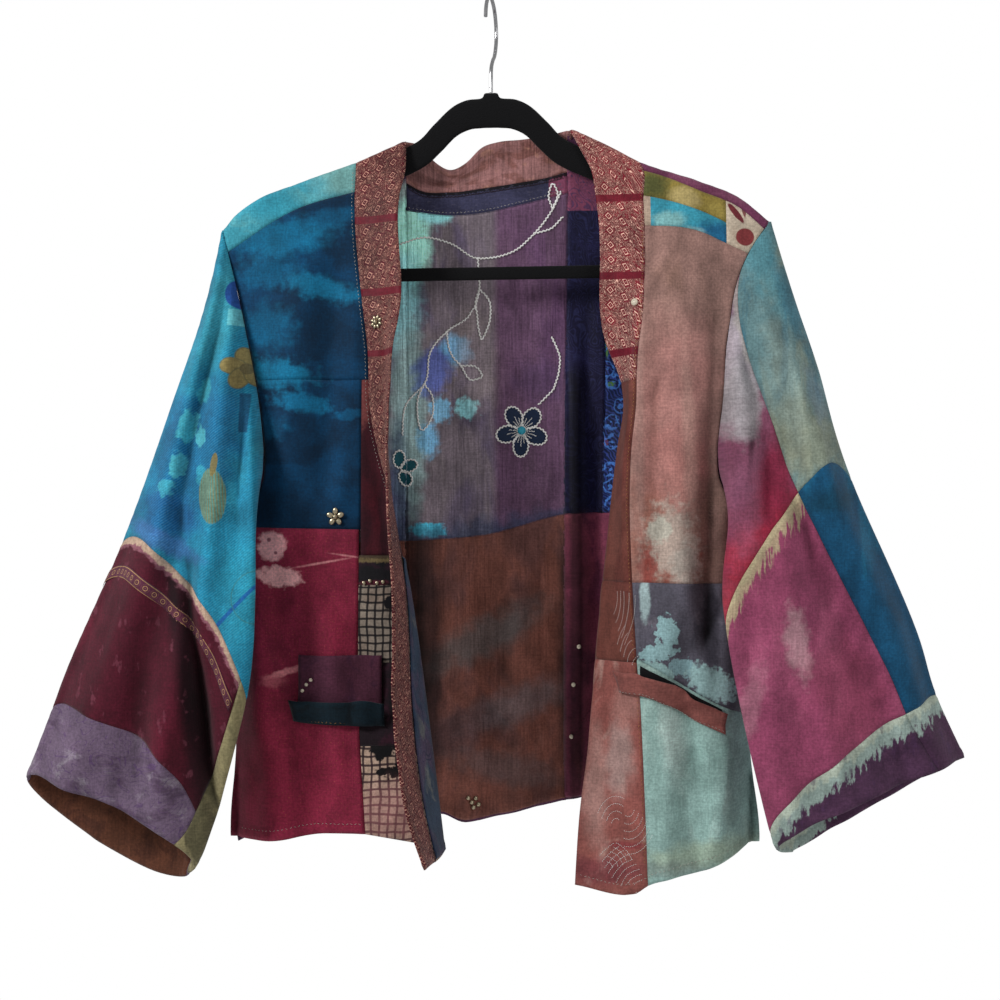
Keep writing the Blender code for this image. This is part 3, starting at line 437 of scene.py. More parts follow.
STRIP_MARKS = [[(-110, -443), (-30, -443)], [(-110, -466), (-30, -466)],
               [(-110, -526), (-30, -526)], [(-110, -590), (-30, -590)], HEM_R]
OLIVE_TOP = [(110, -135), (134, -141), (167, -154), (199, -168), (222, -188)]
OLIVE_LOW = [(110, -157), (119, -158), (166, -170), (194, -183), (222, -198)]
TURQ_LOW = [(110, -182), (165, -187), (193, -199), (222, -210)]
MAIN_LOW = [(105, -464), (210, -466)]
SLATE_LOW = [(105, -520), (114, -524), (179, -560), (210, -572)]
PRINT_X = 187.0
NECK = [(-69, -144), (-58, -150), (-33, -151.5), (-8, -148.5), (25, -143.5), (45, -140),
        (61.6, -135.5)]
NECK_R, NECK_L = -68.8, 61.6
BAND_R, BAND_L, LINE_L = -107.6, 118.8, 93.5
LOW_LINE = [(-203, -434), (-66, -433), (-9, -429), (69, -411), (207, -411)]
FACING_LOW = [(-69, -166), (-33, -170), (-8, -168), (25, -161), (62, -152)]


def share_x(table, inner, share):
    return lambda z: follow(table, z, 2) * (1 - share) + inner * share


# Back collar: x, top y, top z
COLLAR = [(-68, 3.0, -113), (-58, 6, -115), (-45, 9, -128), (-33, 11, -134), (-20, 12, -128),
          (-8, 12, -116), (6, 12, -111), (25, 10, -109.5), (45, 7, -107), (60.5, 3.0, -104)]


def collar(x, v):
    top = np.stack([x, follow(COLLAR, x, 1), follow(COLLAR, x, 2)], -1)
    foot = back(x, s_of(x, follow(NECK, x) + 1.0))
    swell = np.sin(math.pi * np.clip(v, 0, 1)) * 3.0
    out = top * (1 - v[..., None]) + foot * v[..., None]
    out[..., 1] += swell
    return out


G = 0.0008                   # gap share at the folds
# Seams round each sleeve: way round, share of length
SEAM_R = [(-1, 0.66), (-0.5, 0.66), (0, 0.65), (0.3, 0.60), (0.5, 0.60), (0.8, 0.68), (1, 0.66)]
CUFF_R = [(-1, 0.94), (0, 0.93), (0.3, 0.88), (0.5, 0.86), (0.8, 0.92), (1, 0.94)]
SEAM_L = [(-1, 0.64), (-0.4, 0.655), (0, 0.655), (0.3, 0.56), (0.5, 0.555), (0.75, 0.60), (1, 0.64)]
CUFF_L = [(-1, 0.94), (0, 0.935), (0.5, 0.91), (1, 0.94)]
OLIVE_W = 0.72               # where the olive gusset starts, way round


# Fine folds


def wrinkle_rows(seed, count, x0, x1, z0, z1, slant, length, height, half):
    """Random narrow folds in the columns of the fold tables."""
    rng = np.random.default_rng(seed)
    rows = []
    for _ in range(count):
        x, z = rng.uniform(x0, x1), rng.uniform(z1, z0)
        run = rng.uniform(0.5, 1.5) * length
        lean = rng.normal(0, slant)
        rows.append((x, z, x + run * math.sin(lean), z - run * math.cos(lean),
                     height * rng.uniform(-1, 1), half * rng.uniform(0.6, 1.5)))
    return rows


def wrinkles(rows, x, z):
    """Folds that fade at both ends, in any direction."""
    out = np.zeros(np.broadcast(x, z).shape)
    for x0, z0, x1, z1, height, half in rows:
        d = np.array([x1 - x0, z1 - z0])
        run = np.linalg.norm(d)
        d /= run
        along = ((x - x0) * d[0] + (z - z0) * d[1]) / run
        off = ((x - x0) * d[1] - (z - z0) * d[0]) / half
        live = np.clip(along, 0, 1) * np.clip(1 - along, 0, 1) * 4
        out += height * live * np.exp(-off ** 2)
    return out


# Folds read off the picture: x, z at both ends, height, half width
BIG_SR = [(-194.3, -247.4, -188.9, -476.3, -5.5, 5), (-182, -270.3, -174.4, -506.8, 4.0, 6),
          (-212.6, -339, -230.9, -506.8, -9.0, 7), (-237, -400, -191.2, -751, -20.0, 7),
          (-248.4, -339, -282.8, -506.8, 3.5, 14), (-204.9, -339, -211, -506.8, 3.5, 9),
          (-252.2, -453.4, -238.5, -728.1, 9.0, 13), (-290.4, -476.3, -305.7, -690, -3.5, 12),
          (-201.9, -476.3, -174.4, -705.2, 7.0, 9), (-233.2, -270.3, -259.9, -445.8, -2.5, 9)]
BIG_SL = [(191.9, -247.4, 176.6, -445.8, 3.0, 8), (214.8, -270.3, 199.5, -476.3, -4.5, 10),
          (236.1, -339, 217, -522.1, 3.5, 11), (217, -209.2, 247.6, -445.8, -5.0, 5),
          (228.5, -270.3, 252.9, -476.3, 4.0, 5), (207.1, -224.5, 224.7, -415.3, 3.5, 5),
          (232.3, -201.6, 266.6, -445.8, 3.0, 6), (186.5, -445.8, 204.1, -690, -6.0, 9),
          (196.4, -247.4, 213.2, -445.8, -6.0, 7),
          (228.5, -476.3, 274.3, -705.2, 6.0, 12), (266.6, -445.8, 323.9, -644.2, -6.0, 10),
          (205.6, -506.8, 236.1, -720.5, 3.0, 9), (297.2, -415.3, 343, -628.9, 2.5, 11)]
BIG_R = [(-177.3, -508.6, -186.6, -710.2, -2.5, 8), (-147.9, -586.1, -159.5, -694.6, 2.0, 9),
         (-113, -586.1, -116.9, -694.6, -1.5, 8), (-124.6, -182.9, -133.9, -415.5, -1.5, 9)]
BIG_L = [(162.3, -213.9, 154.5, -493, -2.0, 9), (137.5, -198.4, 131.3, -415.5, 1.5, 8),
         (179.3, -229.4, 166.9, -477.5, 2.0, 7), (154.5, -578.3, 140.6, -710.2, -2.0, 9),
         (189.4, -555.1, 171.6, -710.2, 2.0, 8), (127.4, -244.9, 115.8, -508.6, -1.5, 7)]
BIG_B = [(-29.6, -449.1, -40.3, -694.6, 3.0, 9), (7.2, -449.1, 11.3, -678.3, -3.0, 10),
         (44, -449.1, 31.8, -694.6, 3.0, 9), (-17.4, -596.4, -29.6, -694.6, -2.5, 7),
         (-58.3, -170.8, -55, -416.4, -2.0, 7), (80.9, -219.9, 71, -449.1, 2.5, 6),
         (72.7, -449.1, 66.1, -661.9, -2.5, 6)]
FINE_R = (BIG_R + wrinkle_rows(3, 46, -210, -60, -150, -660, 0.5, 70, 1.5, 5)
          + wrinkle_rows(4, 60, -210, -60, -150, -660, 1.3, 26, 0.6, 3))
FINE_L = (BIG_L + wrinkle_rows(5, 60, 60, 210, -140, -690, 0.4, 80, 1.8, 5)
          + wrinkle_rows(6, 60, 60, 210, -140, -690, 1.3, 26, 0.7, 3))
FINE_B = (BIG_B + wrinkle_rows(7, 90, -205, 210, -150, -660, 0.5, 70, 1.7, 5)
          + wrinkle_rows(8, 150, -120, 120, -170, -430, 0.25, 40, 0.6, 2.2)
          + wrinkle_rows(9, 60, -120, 120, -440, -660, 1.2, 50, 1.6, 5))
FINE_SR = (BIG_SR + wrinkle_rows(10, 60, -350, -190, -220, -660, 0.5, 80, 1.9, 6)
           + wrinkle_rows(11, 60, -350, -190, -220, -660, 1.2, 30, 0.7, 3.5))
FINE_SL = (BIG_SL + wrinkle_rows(12, 60, 190, 360, -220, -660, 0.5, 80, 2.0, 6)
           + wrinkle_rows(13, 60, 190, 360, -220, -660, 1.2, 30, 0.7, 3.5))


def finer(call, rows, way):
    """A surface with its fine folds, along Y."""
    def surface(a, b):
        p = call(a, b)
        near = ease((-150 - p[..., 2]) / 40) if way else 1.0
        p[..., 1] += way * wrinkles(rows, p[..., 0], p[..., 2]) * near
        return p
    return surface


def finer_sleeve(call, rows):
    """A sleeve with its fine folds, none at its folds and at the armhole."""
    def surface(t, w):
        p = call(t, w)
        live = np.sin(math.pi * np.abs(w)) * ease(t / 0.25)
        p[..., 1] -= np.sign(w) * wrinkles(rows, p[..., 0], p[..., 2]) * live
        return p
    return surface


FRONT = {"right": finer(FRONT_R, FINE_R, -1), "left": finer(FRONT_L, FINE_L, -1)}
BACK = finer(back, FINE_B, 1)
SLEEVE = {"right": finer_sleeve(SLEEVE_RIGHT, FINE_SR),
          "left": finer_sleeve(SLEEVE_LEFT, FINE_SL)}


# Dyes and weaves


def linear(code):
    """Linear colour of a six-digit code."""
    out = []
    for k in (0, 2, 4):
        c = int(code[k:k + 2], 16) / 255
        out.append(c / 12.92 if c <= 0.04045 else ((c + 0.055) / 1.055) ** 2.4)
    return (*out, 1.0)


HOLLOW_PAINTED_SHADE, RIDGE_PAINTED_HIGHLIGHT = 0.25, 1.3     # painted shade of the deepest hollow and painted highlight of the highest ridge, as colour factors
FOLD_SHADE_GAIN = 0.32                        # painted shade and highlight value per millimetre of bend


class Dye:
    """A material whose colour is laid down in layers, over millimetres of flat cloth."""

    def __init__(self, name, base, rough=0.75, sheen=0.1, metallic=0.0):
        self.mat = bpy.data.materials.new(name)
        self.mat.use_nodes = True
        self.tree = self.mat.node_tree
        self.bsdf = self.tree.nodes["Principled BSDF"]
        self.bsdf.inputs["Roughness"].default_value = rough
        self.bsdf.inputs["Metallic"].default_value = metallic
        self.bsdf.inputs["Sheen Weight"].default_value = sheen
        self.bsdf.inputs["Sheen Roughness"].default_value = 0.45
        self.bsdf.inputs["Specular IOR Level"].default_value = 0.15
        self.flat = self.uv("flat")
        self.edge = self.uv("edge")
        self.colour = linear(base)
        self.height = None

    def new(self, kind, **values):
        node = self.tree.nodes.new("ShaderNode" + kind)
        for key, value in values.items():
            setattr(node, key, value)
        return node

    def put(self, socket, value):
        if isinstance(value, bpy.types.NodeSocket):
            self.tree.links.new(value, socket)
        else:
            socket.default_value = value

    def uv(self, name):
        return self.new("UVMap", uv_map=name).outputs["UV"]

    def math(self, kind, a, b=0.0, clamp=False):
        node = self.new("Math", operation=kind, use_clamp=clamp)
        self.put(node.inputs[0], a)
        self.put(node.inputs[1], b)
        return node.outputs[0]

    def axis(self, vector, k):
        node = self.new("SeparateXYZ")
        self.put(node.inputs[0], vector)
        return node.outputs[k]

    def move(self, vector, shift=(0, 0), scale=(1, 1), turn=0.0):
        """Place relative to shift, turned back by turn and divided by scale."""
        node = self.new("Mapping", vector_type="TEXTURE")
        self.put(node.inputs["Vector"], vector)
        node.inputs["Location"].default_value = (*shift, 0)
        node.inputs["Rotation"].default_value = (0, 0, math.radians(turn))
        node.inputs["Scale"].default_value = (*scale, 1)
        return node.outputs[0]

    def noise(self, size, stretch=(1, 1), detail=3.0, warp=0.0, shift=0.0, vector=None):
        vector = self.move(vector or self.flat, (shift, shift),
                           (size * stretch[0], size * stretch[1]))
        node = self.new("TexNoise", noise_dimensions="2D")
        self.put(node.inputs["Vector"], vector)
        node.inputs["Scale"].default_value = 1.0
        node.inputs["Detail"].default_value = detail
        node.inputs["Roughness"].default_value = 0.55
        node.inputs["Distortion"].default_value = warp
        return node.outputs[0]

    def cells(self, size, shift=0.0):
        node = self.new("TexVoronoi", voronoi_dimensions="2D", feature="F1")
        self.put(node.inputs["Vector"], self.move(self.flat, (shift, shift), (size, size)))
        node.inputs["Scale"].default_value = 1.0
        node.inputs["Randomness"].default_value = 1.0
        return node.outputs["Distance"]

    def level(self, value, low, high, out=(0.0, 1.0)):
        node = self.new("MapRange", interpolation_type="SMOOTHSTEP")
        self.put(node.inputs["Value"], value)
        for key, v in zip(("From Min", "From Max", "To Min", "To Max"), (low, high, *out)):
            node.inputs[key].default_value = v
        return node.outputs[0]

    def over(self, mask, colour, strength=1.0):
        """Lays a colour over what is there."""
        if strength != 1.0:
            mask = self.math("MULTIPLY", mask, strength)
        node = self.new("Mix", data_type="RGBA")
        self.put(node.inputs[0], mask)
        self.put(node.inputs[6], self.colour)
        self.put(node.inputs[7], linear(colour) if isinstance(colour, str) else colour)
        self.colour = node.outputs[2]

    def times(self, factor):
        """Multiplies the cloth's colour."""
        node = self.new("Mix", data_type="RGBA", blend_type="MULTIPLY")
        node.inputs[0].default_value = 1.0
        self.put(node.inputs[6], self.colour)
        self.put(node.inputs[7], factor)
        self.colour = node.outputs[2]

    def shade(self, value, low, high):
        """Multiplies the colour by a value brought to low..high."""
        self.times(self.level(value, 0.25, 0.75, (low, high)))

    def length(self, vector):
        node = self.new("VectorMath", operation="LENGTH")
        self.put(node.inputs[0], vector)
        return node.outputs["Value"]

    def spot(self, x, z, rx, rz, turn, ragged, grain, soft):
        """Mask of an oval with an uneven edge."""
        far = self.length(self.move(self.flat, (x, z), (rx, rz), turn))
        if ragged:
            rough = self.noise(grain, detail=4, shift=x * 0.7)
            rough = self.math("MULTIPLY_ADD", rough, 2 * ragged)
            rough.node.inputs[2].default_value = -ragged
            far = self.math("ADD", far, rough)
        return self.level(far, 1 - soft, 1 + soft, (1.0, 0.0))

    def spots(self, rows):
        """Lays ovals: x, z, rx, rz, turn, ragged, grain, soft, colour, strength."""
        for *place, colour, strength in rows:
            self.over(self.spot(*place), colour, strength)

    def strip(self, value, size, ragged, grain=(3.0, 8.0), soft=1.0, shift=0.0):
        """Mask of what lies within a distance, with drips along the edge."""
        rough = self.noise(1.0, grain, detail=4, shift=shift)
        rough = self.math("MULTIPLY_ADD", rough, 2 * ragged)
        rough.node.inputs[2].default_value = size - ragged
        gap = self.math("SUBTRACT", value, rough)
        return self.level(gap, -soft, soft, (1.0, 0.0))

    def lift(self, value, amount):
        """Adds to the height that the bump takes, millimetres."""
        value = self.math("MULTIPLY", value, amount)
        self.height = value if self.height is None else self.math("ADD", self.height, value)

    def weave(self, slub=0.07, crinkle=0.0):
        """Threads, uneven yarn and, where asked, a crinkle along the warp."""
        pitch, slub_wide, slub_long = 0.9, 0.8, 14
        warp = self.noise(1.0, (slub_wide, slub_long), detail=2, shift=3)
        weft = self.noise(1.0, (slub_long, slub_wide), detail=2, shift=17)
        both = self.math("MULTIPLY", self.math("ADD", warp, weft), 0.5)
        self.shade(both, 1 - slub * 2, 1 + slub * 2)
        self.shade(self.noise(17, (1, 1.5), detail=6, shift=91), 0.8, 1.2)
        self.shade(self.noise(2.0, detail=3, shift=57), 0.84, 1.16)
        threads = [self.math("SINE", self.math("MULTIPLY", self.axis(self.flat, k),
                                               2 * math.pi / pitch)) for k in (0, 1)]
        self.lift(self.math("ADD", *threads), 0.02)
        self.lift(both, 0.25)
        if crinkle:
            ridge = self.noise(1.0, (2.2, 40), detail=3, warp=0.3, shift=40)
            self.lift(ridge, crinkle)
            # painted shade in the crinkle's low parts and painted highlight on its high parts
            self.shade(ridge, 1 - crinkle * 0.25, 1 + crinkle * 0.25)

    def done(self):
        """Paints shade into the hollows and a highlight onto the ridges, and joins colour and
        height to the finish.
        """
        # painted shade in hollows and painted highlight on ridges, from the fold layer's bend
        fold = self.axis(self.uv("fold"), 0)
        self.times(self.level(fold, 0.5, 1.0, (1.0, HOLLOW_PAINTED_SHADE)))
        self.times(self.level(fold, 0.0, 0.5, (RIDGE_PAINTED_HIGHLIGHT, 1.0)))
        self.put(self.bsdf.inputs["Base Color"], self.colour)
        if self.height is not None:
            node = self.new("Bump")
            node.inputs["Strength"].default_value = 1.0
            node.inputs["Distance"].default_value = MM
            self.put(node.inputs["Height"], self.height)
            self.put(self.bsdf.inputs["Normal"], node.outputs[0])
        return self.mat


# How much lighter or darker each cloth is than its dyes as named: red, green, blue
TINT = {
    "teal_dyed": (0.2, 0.7, 0.9), "turquoise_yoke": (0.7, 0.8, 0.8),
    "maroon_cloth": (1.8, 2.0, 1.8), "plum_strip": (0.7, 0.6, 0.5),
    "cream_check": (0.7, 0.7, 0.8), "blue_batik": (0.5, 0.4, 0.3),
    "rust_cloth": (1.2, 1.4, 1.5), "rust_dark": (0.6, 0.7, 0.7), "olive_dyed": (1.2, 1.0, 0.9),
    "rose_cloth": (1.2, 1.5, 1.6), "slate_dyed": (1.8, 1.4, 1.4), "mint_cloth": (1.3, 1.2, 1.2),
    "welt_teal": (0.7, 0.6, 0.6), "pocket_plum": (1.4, 1.4, 1.4),
    "collar_brown": (1.8, 2.3, 2.8), "navy_facing": (1.3, 1.3, 1.3),
    "mauve_crinkle": (2.0, 2.9, 2.8), "rust_lining": (1.4, 1.6, 2.2),
    "navy_damask": (1.4, 1.3, 1.5), "blue_lurex": (0.4, 0.6, 0.5),
    "plum_lining": (2.2, 2.0, 1.8), "turquoise_print_sleeve": (0.3, 0.7, 0.8),
    "maroon_sleeve": (0.9, 0.8, 0.7), "purple_cuff": (0.7, 0.8, 0.6),
    "sea_green_sleeve": (0.6, 0.7, 0.9), "mauve_to_red_sleeve": (1.1, 1.2, 1.2),
    "plum_sleeve": (1.4, 1.6, 1.4), "deep_blue_sleeve": (1.1, 1.1, 1.0),
    "dripped_cuff": (0.5, 0.5, 0.5),
}


def dyed(name, base, clouds=(), spots=(), rough=0.75, sheen=0.1, slub=0.07, crinkle=0.0,
         more=None):
    """Dyed cloth. Clouds: colour, size, stretch x, stretch z, low, high, strength."""
    dye = Dye(name, base, rough, sheen)
    for k, (colour, size, sx, sz, low, high, strength) in enumerate(clouds):
        value = dye.noise(size, (sx, sz), detail=5, warp=0.4, shift=11.0 * k + len(name))
        dye.over(dye.level(value, low, high), colour, strength)
    dye.spots(spots)
    if name in TINT:
        dye.times((*TINT[name], 1))
    if more:
        more(dye)
    dye.weave(slub=slub, crinkle=crinkle)
    return dye.done()


def spoke(centre, reach, degrees):
    """Place at a distance and angle from a centre."""
    a = math.radians(degrees)
    return centre[0] + reach * math.cos(a), centre[1] + reach * math.sin(a)


def petals(dye, x, z, reach, wide, count, first, colour, edge=None):
    """A printed flower: ovals round a centre."""
    for k in range(count):
        a = first + 360 * k / count
        cx, cz = spoke((x, z), reach, a)
        if edge:
            dye.over(dye.spot(cx, cz, reach * 1.1, wide * 1.15, a, 0.05, 6, 0.08), edge)
        dye.over(dye.spot(cx, cz, reach, wide, a, 0.05, 6, 0.06), colour)


def box_mask(dye, x0, x1, z0, z1, soft):
    """Mask of an upright rectangle."""
    out = None
    for k, lo, hi in ((0, x0, x1), (1, z0, z1)):
        v = dye.axis(dye.flat, k)
        for edge, way in ((lo, 1), (hi, -1)):
            side = dye.level(v, edge - soft, edge + soft, (0, 1) if way > 0 else (1, 0))
            out = side if out is None else dye.math("MULTIPLY", out, side)
    return out


def lines(dye, vector, k, pitch, width):
    """Mask of lines at a pitch across one axis."""
    soft = 0.25
    v = dye.math("PINGPONG", dye.axis(vector, k), pitch / 2)
    return dye.level(v, width / 2 - soft, width / 2 + soft, (1, 0))


def brocade(name, base, under, thread, bars):
    """Red cloth with woven gold scrolls and round figures between plain bars."""
    dye = Dye(name, base, 0.5, 0.12)
    dye.over(dye.level(dye.noise(30, detail=3), 0.35, 0.7), under, 0.7)
    place = dye.edge
    # Scrolls: bands of a warped noise, as narrow worms
    worm = dye.noise(3.2, detail=1.0, warp=0.9, vector=place)
    worm = dye.math("PINGPONG", worm, 0.05)
    gold = dye.level(worm, 0.012, 0.02, (1, 0))
    # Figures every 12 mm down the band, three across
    u = dye.math("PINGPONG", dye.math("ADD", dye.axis(place, 0), 3.0), 6.0)
    v = dye.math("PINGPONG", dye.math("ADD", dye.axis(place, 1), 2.0), 6.0)
    far = dye.math("ADD", u, v)
    ring = dye.level(dye.math("PINGPONG", far, 1.25), 0.35, 0.55, (1, 0))
    inside = dye.level(far, 4.2, 4.6, (1, 0))
    figure = dye.math("MULTIPLY", ring, inside)
    plain = dye.math("SUBTRACT", 1.0, inside)
    gold = dye.math("ADD", dye.math("MULTIPLY", gold, plain), figure, clamp=True)
    for top, foot in bars:
        bar = box_mask(dye, -200, 200, -foot, -top, 0.4)
        gold = dye.math("MULTIPLY", gold, dye.math("SUBTRACT", 1.0, bar))
        dye.over(bar, "6b1626", 0.85)
    dye.over(gold, thread, 0.85)
    dye.lift(gold, 0.2)
    dye.weave(slub=0.08)
    return dye.done()


def check_cloth(name, base, line, pitch, marks=()):
    """Squares drawn by dark lines, wavering a little."""
    dye = Dye(name, base, 0.8, 0.1)
    dye.over(dye.level(dye.noise(22, detail=4), 0.45, 0.7), "8f7a66", 0.6)
    bend = dye.new("VectorMath", operation="MULTIPLY_ADD")
    swirl = dye.new("TexNoise", noise_dimensions="2D")
    dye.put(swirl.inputs["Vector"], dye.move(dye.flat, scale=(30, 30)))
    swirl.inputs["Scale"].default_value = 1.0
    dye.put(bend.inputs[0], swirl.outputs["Color"])
    bend.inputs[1].default_value = (5, 5, 0)
    dye.put(bend.inputs[2], dye.flat)
    for k in (0, 1):
        dye.over(lines(dye, bend.outputs[0], k, pitch, 1.7), line, 0.92)
    dye.spots(marks)
    if name in TINT:
        dye.times((*TINT[name], 1))
    dye.weave(slub=0.06)
    return dye.done()


# Looks, patch by patch


def borders(dye, size, ragged, colour, strength=0.9, grain=(3.0, 8.0), soft=1.0):
    """Dye drips down from a piece's upper seam."""
    dye.over(dye.strip(dye.axis(dye.edge, 1), size, ragged, grain, soft), colour, strength)


TEAL_DYED = dyed("teal_dyed", "0b3147", [("0f4663", 60, 1.4, 0.9, 0.45, 0.62, 0.8)], [
    (-163.4, -192.2, 36, 14, 8, 0.7, 11, 0.5, "2b86a0", 0.62),
    (-133.9, -232.5, 30, 9, -12, 0.75, 8, 0.5, "2f8ca6", 0.7),
    (-177.3, -220.1, 24, 12, 6, 0.7, 9, 0.5, "1f7592", 0.62),
    (-124.6, -176.7, 22, 7, 10, 0.7, 8, 0.5, "1f6f8c", 0.5),
    (-177.3, -264.3, 22, 17, 0, 0.7, 10, 0.5, "1f7590", 0.6),
    (-172.7, -300.8, 32, 11, -6, 0.8, 8, 0.45, "2d8ea8", 0.72),
    (-147.9, -324, 22, 7, -8, 0.8, 7, 0.45, "2a84a0", 0.66),
    (-180.4, -344.2, 20, 10, 4, 0.7, 9, 0.5, "1b6a86", 0.6),
    (-110.7, -333.3, 12, 4, 8, 0.7, 6, 0.4, "1f7090", 0.5)])
YOKE = dyed("turquoise_yoke", "47a0b3", [("6cb2b8", 26, 1.6, 1, 0.5, 0.7, 0.6)], [
    (-112.1, -144, 26, 16, 0, 0.4, 12, 0.6, "8bb2a9", 0.75),
    (-182, -161.5, 26, 12, -20, 0.4, 12, 0.6, "3296ae", 0.7)])


def maroon_marks(dye):
    specks = dye.level(dye.noise(1.3, detail=2, shift=60), 0.66, 0.74)
    dye.over(specks, "a4633f", 0.35)


MAROON_CLOTH = dyed("maroon_cloth", "62172c", [
    ("751f37", 60, 1, 1.3, 0.45, 0.7, 0.6), ("4c1124", 50, 1, 1.6, 0.55, 0.75, 0.6)], [
    (-170.4, -434.9, 11, 12, 0, 0.5, 7, 0.2, "b57c84", 0.95),
    (-164.2, -459.7, 17, 8, -6, 0.65, 7, 0.25, "b98289", 0.9),
    (-172.7, -431, 1.6, 1.6, 0, 0, 5, 0.4, "4a1426", 0.8),
    (-167.3, -441.1, 1.3, 1.3, 0, 0, 5, 0.4, "4a1426", 0.8),
    (-130.8, -448.8, 20, 0.8, 10, 0.5, 4, 0.7, "a86a72", 0.7),
    (-110.7, -443.4, 12, 0.7, -8, 0.5, 4, 0.7, "a86a72", 0.6),
    (-160.3, -534.1, 13, 2.6, 18, 0.6, 6, 0.4, "a8626c", 0.75),
    (-169.6, -541.1, 9, 5, 0, 0.6, 6, 0.5, "8a4450", 0.6),
    (-147.9, -624.9, 40, 46, 0, 0.5, 30, 0.6, "741c34", 0.5)], more=maroon_marks)
PLUM_STRIP = dyed("plum_strip", "3a1323", [("571a2c", 30, 0.4, 2, 0.4, 0.7, 0.7)], [
    (-99.8, -318.6, 6, 26, 0, 0.5, 8, 0.3, "8d5156", 0.8)])


def dark_patch(dye):
    v = dye.axis(dye.edge, 1)
    dye.over(dye.strip(v, 5.5, 1.5, (3, 3)), "6b5c3e", 0.9)
    dye.over(dye.strip(v, 2.6, 2.0, (1.5, 2)), "3c2f24", 0.9)


DARK_PATCH = dyed("dark_patch", "121014", [("2b1220", 16, 1, 1, 0.5, 0.7, 0.8)], [
    (-92, -465.1, 12, 2.5, 4, 0.6, 4, 0.4, "5c2230", 0.8)], more=dark_patch)
CHECK = check_cloth("cream_check", "968975", "131114", 6.2, [
    (-79.6, -479.9, 3.5, 5.5, 0, 0.5, 4, 0.15, "131114", 1.0)])
DARK_STRIP = dyed("dark_strip", "1c0f17", [("3a1526", 20, 1, 1, 0.5, 0.7, 0.7)], [
    (-73.4, -547.3, 6, 26, 0, 0.5, 10, 0.4, "0b0a0e", 0.8)])
LOW_CHECK = check_cloth("pink_check", "b69b8a", "2a1a20", 6.4, [
    (-76.5, -582.2, 13, 11, -30, 0.75, 7, 0.12, "0c0a0d", 1.0),
    (-84.3, -592.3, 9, 8, 0, 0.7, 6, 0.12, "0c0a0d", 1.0),
    (-70.3, -607.8, 11, 5, 35, 0.75, 5, 0.12, "0c0a0d", 1.0),
    (-82, -609.4, 7, 3, 10, 0.75, 5, 0.12, "0c0a0d", 1.0),
    (-76.5, -641.9, 26, 22, 0, 0.4, 12, 0.6, "a5696c", 0.45)])


def batik(dye):
    ring = dye.math("PINGPONG", dye.noise(26, (1, 1.8), detail=1.5, warp=0.8, shift=9), 0.11)
    dye.over(dye.level(ring, 0.004, 0.012, (1, 0)), "1d2440", 0.75)


BATIK = dyed("blue_batik", "40608f", [
    ("6b5f93", 26, 1, 1.6, 0.45, 0.65, 0.8), ("8fa3b5", 18, 1, 2, 0.6, 0.72, 0.7),
    ("2c4a86", 24, 1, 2, 0.6, 0.75, 0.7)], more=batik)
RUST_CLOTH = dyed("rust_cloth", "854840", [
    ("6f3a34", 40, 1, 2, 0.45, 0.7, 0.6), ("a07468", 24, 1, 1.4, 0.58, 0.76, 0.8)], [
    (97.9, -601.6, 12, 26, 0, 0.5, 14, 0.5, "a2857c", 0.6),
    (78.5, -624.9, 10, 40, 4, 0.5, 14, 0.6, "977268", 0.6),
    (104.1, -559, 12, 16, 0, 0.5, 10, 0.5, "9a6a60", 0.6),
    (84.7, -686.9, 30, 10, 0, 0.5, 12, 0.5, "63262f", 0.6),
    (104.1, -667.5, 14, 3, 0, 0.6, 8, 0.5, "7a2a30", 0.6)])
RUST_DARK = dyed("rust_dark", "8a4a40", [("77332f", 30, 1, 2, 0.45, 0.7, 0.7)])
PURPLE_DYED = dyed("purple_strip_dyed", "6a3450", [("7d4a60", 26, 1.5, 1, 0.5, 0.7, 0.6)])
OLIVE_DYED = dyed("olive_dyed", "837c3f", [("6c6a37", 22, 1.5, 1, 0.5, 0.7, 0.7)], [
    (124.9, -150.3, 18, 10, 0, 0.5, 9, 0.5, "4a5836", 0.85),
    (153.5, -159.9, 12, 9, -20, 0.5, 9, 0.4, "a5a172", 0.8),
    (183.7, -171, 14, 6, -20, 0.5, 9, 0.5, "8f8a4c", 0.6)])
TURQ_DYED = dyed("turquoise_dyed", "3d9ab0", [("2a7e9c", 18, 1.6, 1, 0.48, 0.62, 0.7)], [
    (188.5, -191.7, 22, 11, -18, 0.4, 9, 0.5, "1b5a86", 0.85),
    (140.8, -178.2, 13, 7, 0, 0.5, 7, 0.4, "8cbcb8", 0.75),
    (161.4, -186.9, 9, 3, -15, 0.5, 7, 0.5, "9fc7c4", 0.5)],
    more=lambda dye: dye.over(box_mask(dye, 90, 126.5, -260, -100, 0.3), "b59f8c"))
PRINT = dyed("cream_print", "c6b6a2", [("b39c88", 20, 1, 1, 0.5, 0.7, 0.6)], [
    (202, -190.9, 7.5, 7, 0, 0.04, 6, 0.07, "83383a", 1.0),
    (194.8, -171.8, 2.4, 10, 38, 0.15, 6, 0.12, "6f2c33", 1.0),
    (201.2, -169.4, 1.4, 6, 10, 0.15, 6, 0.15, "6f2c33", 0.9)], slub=0.04)
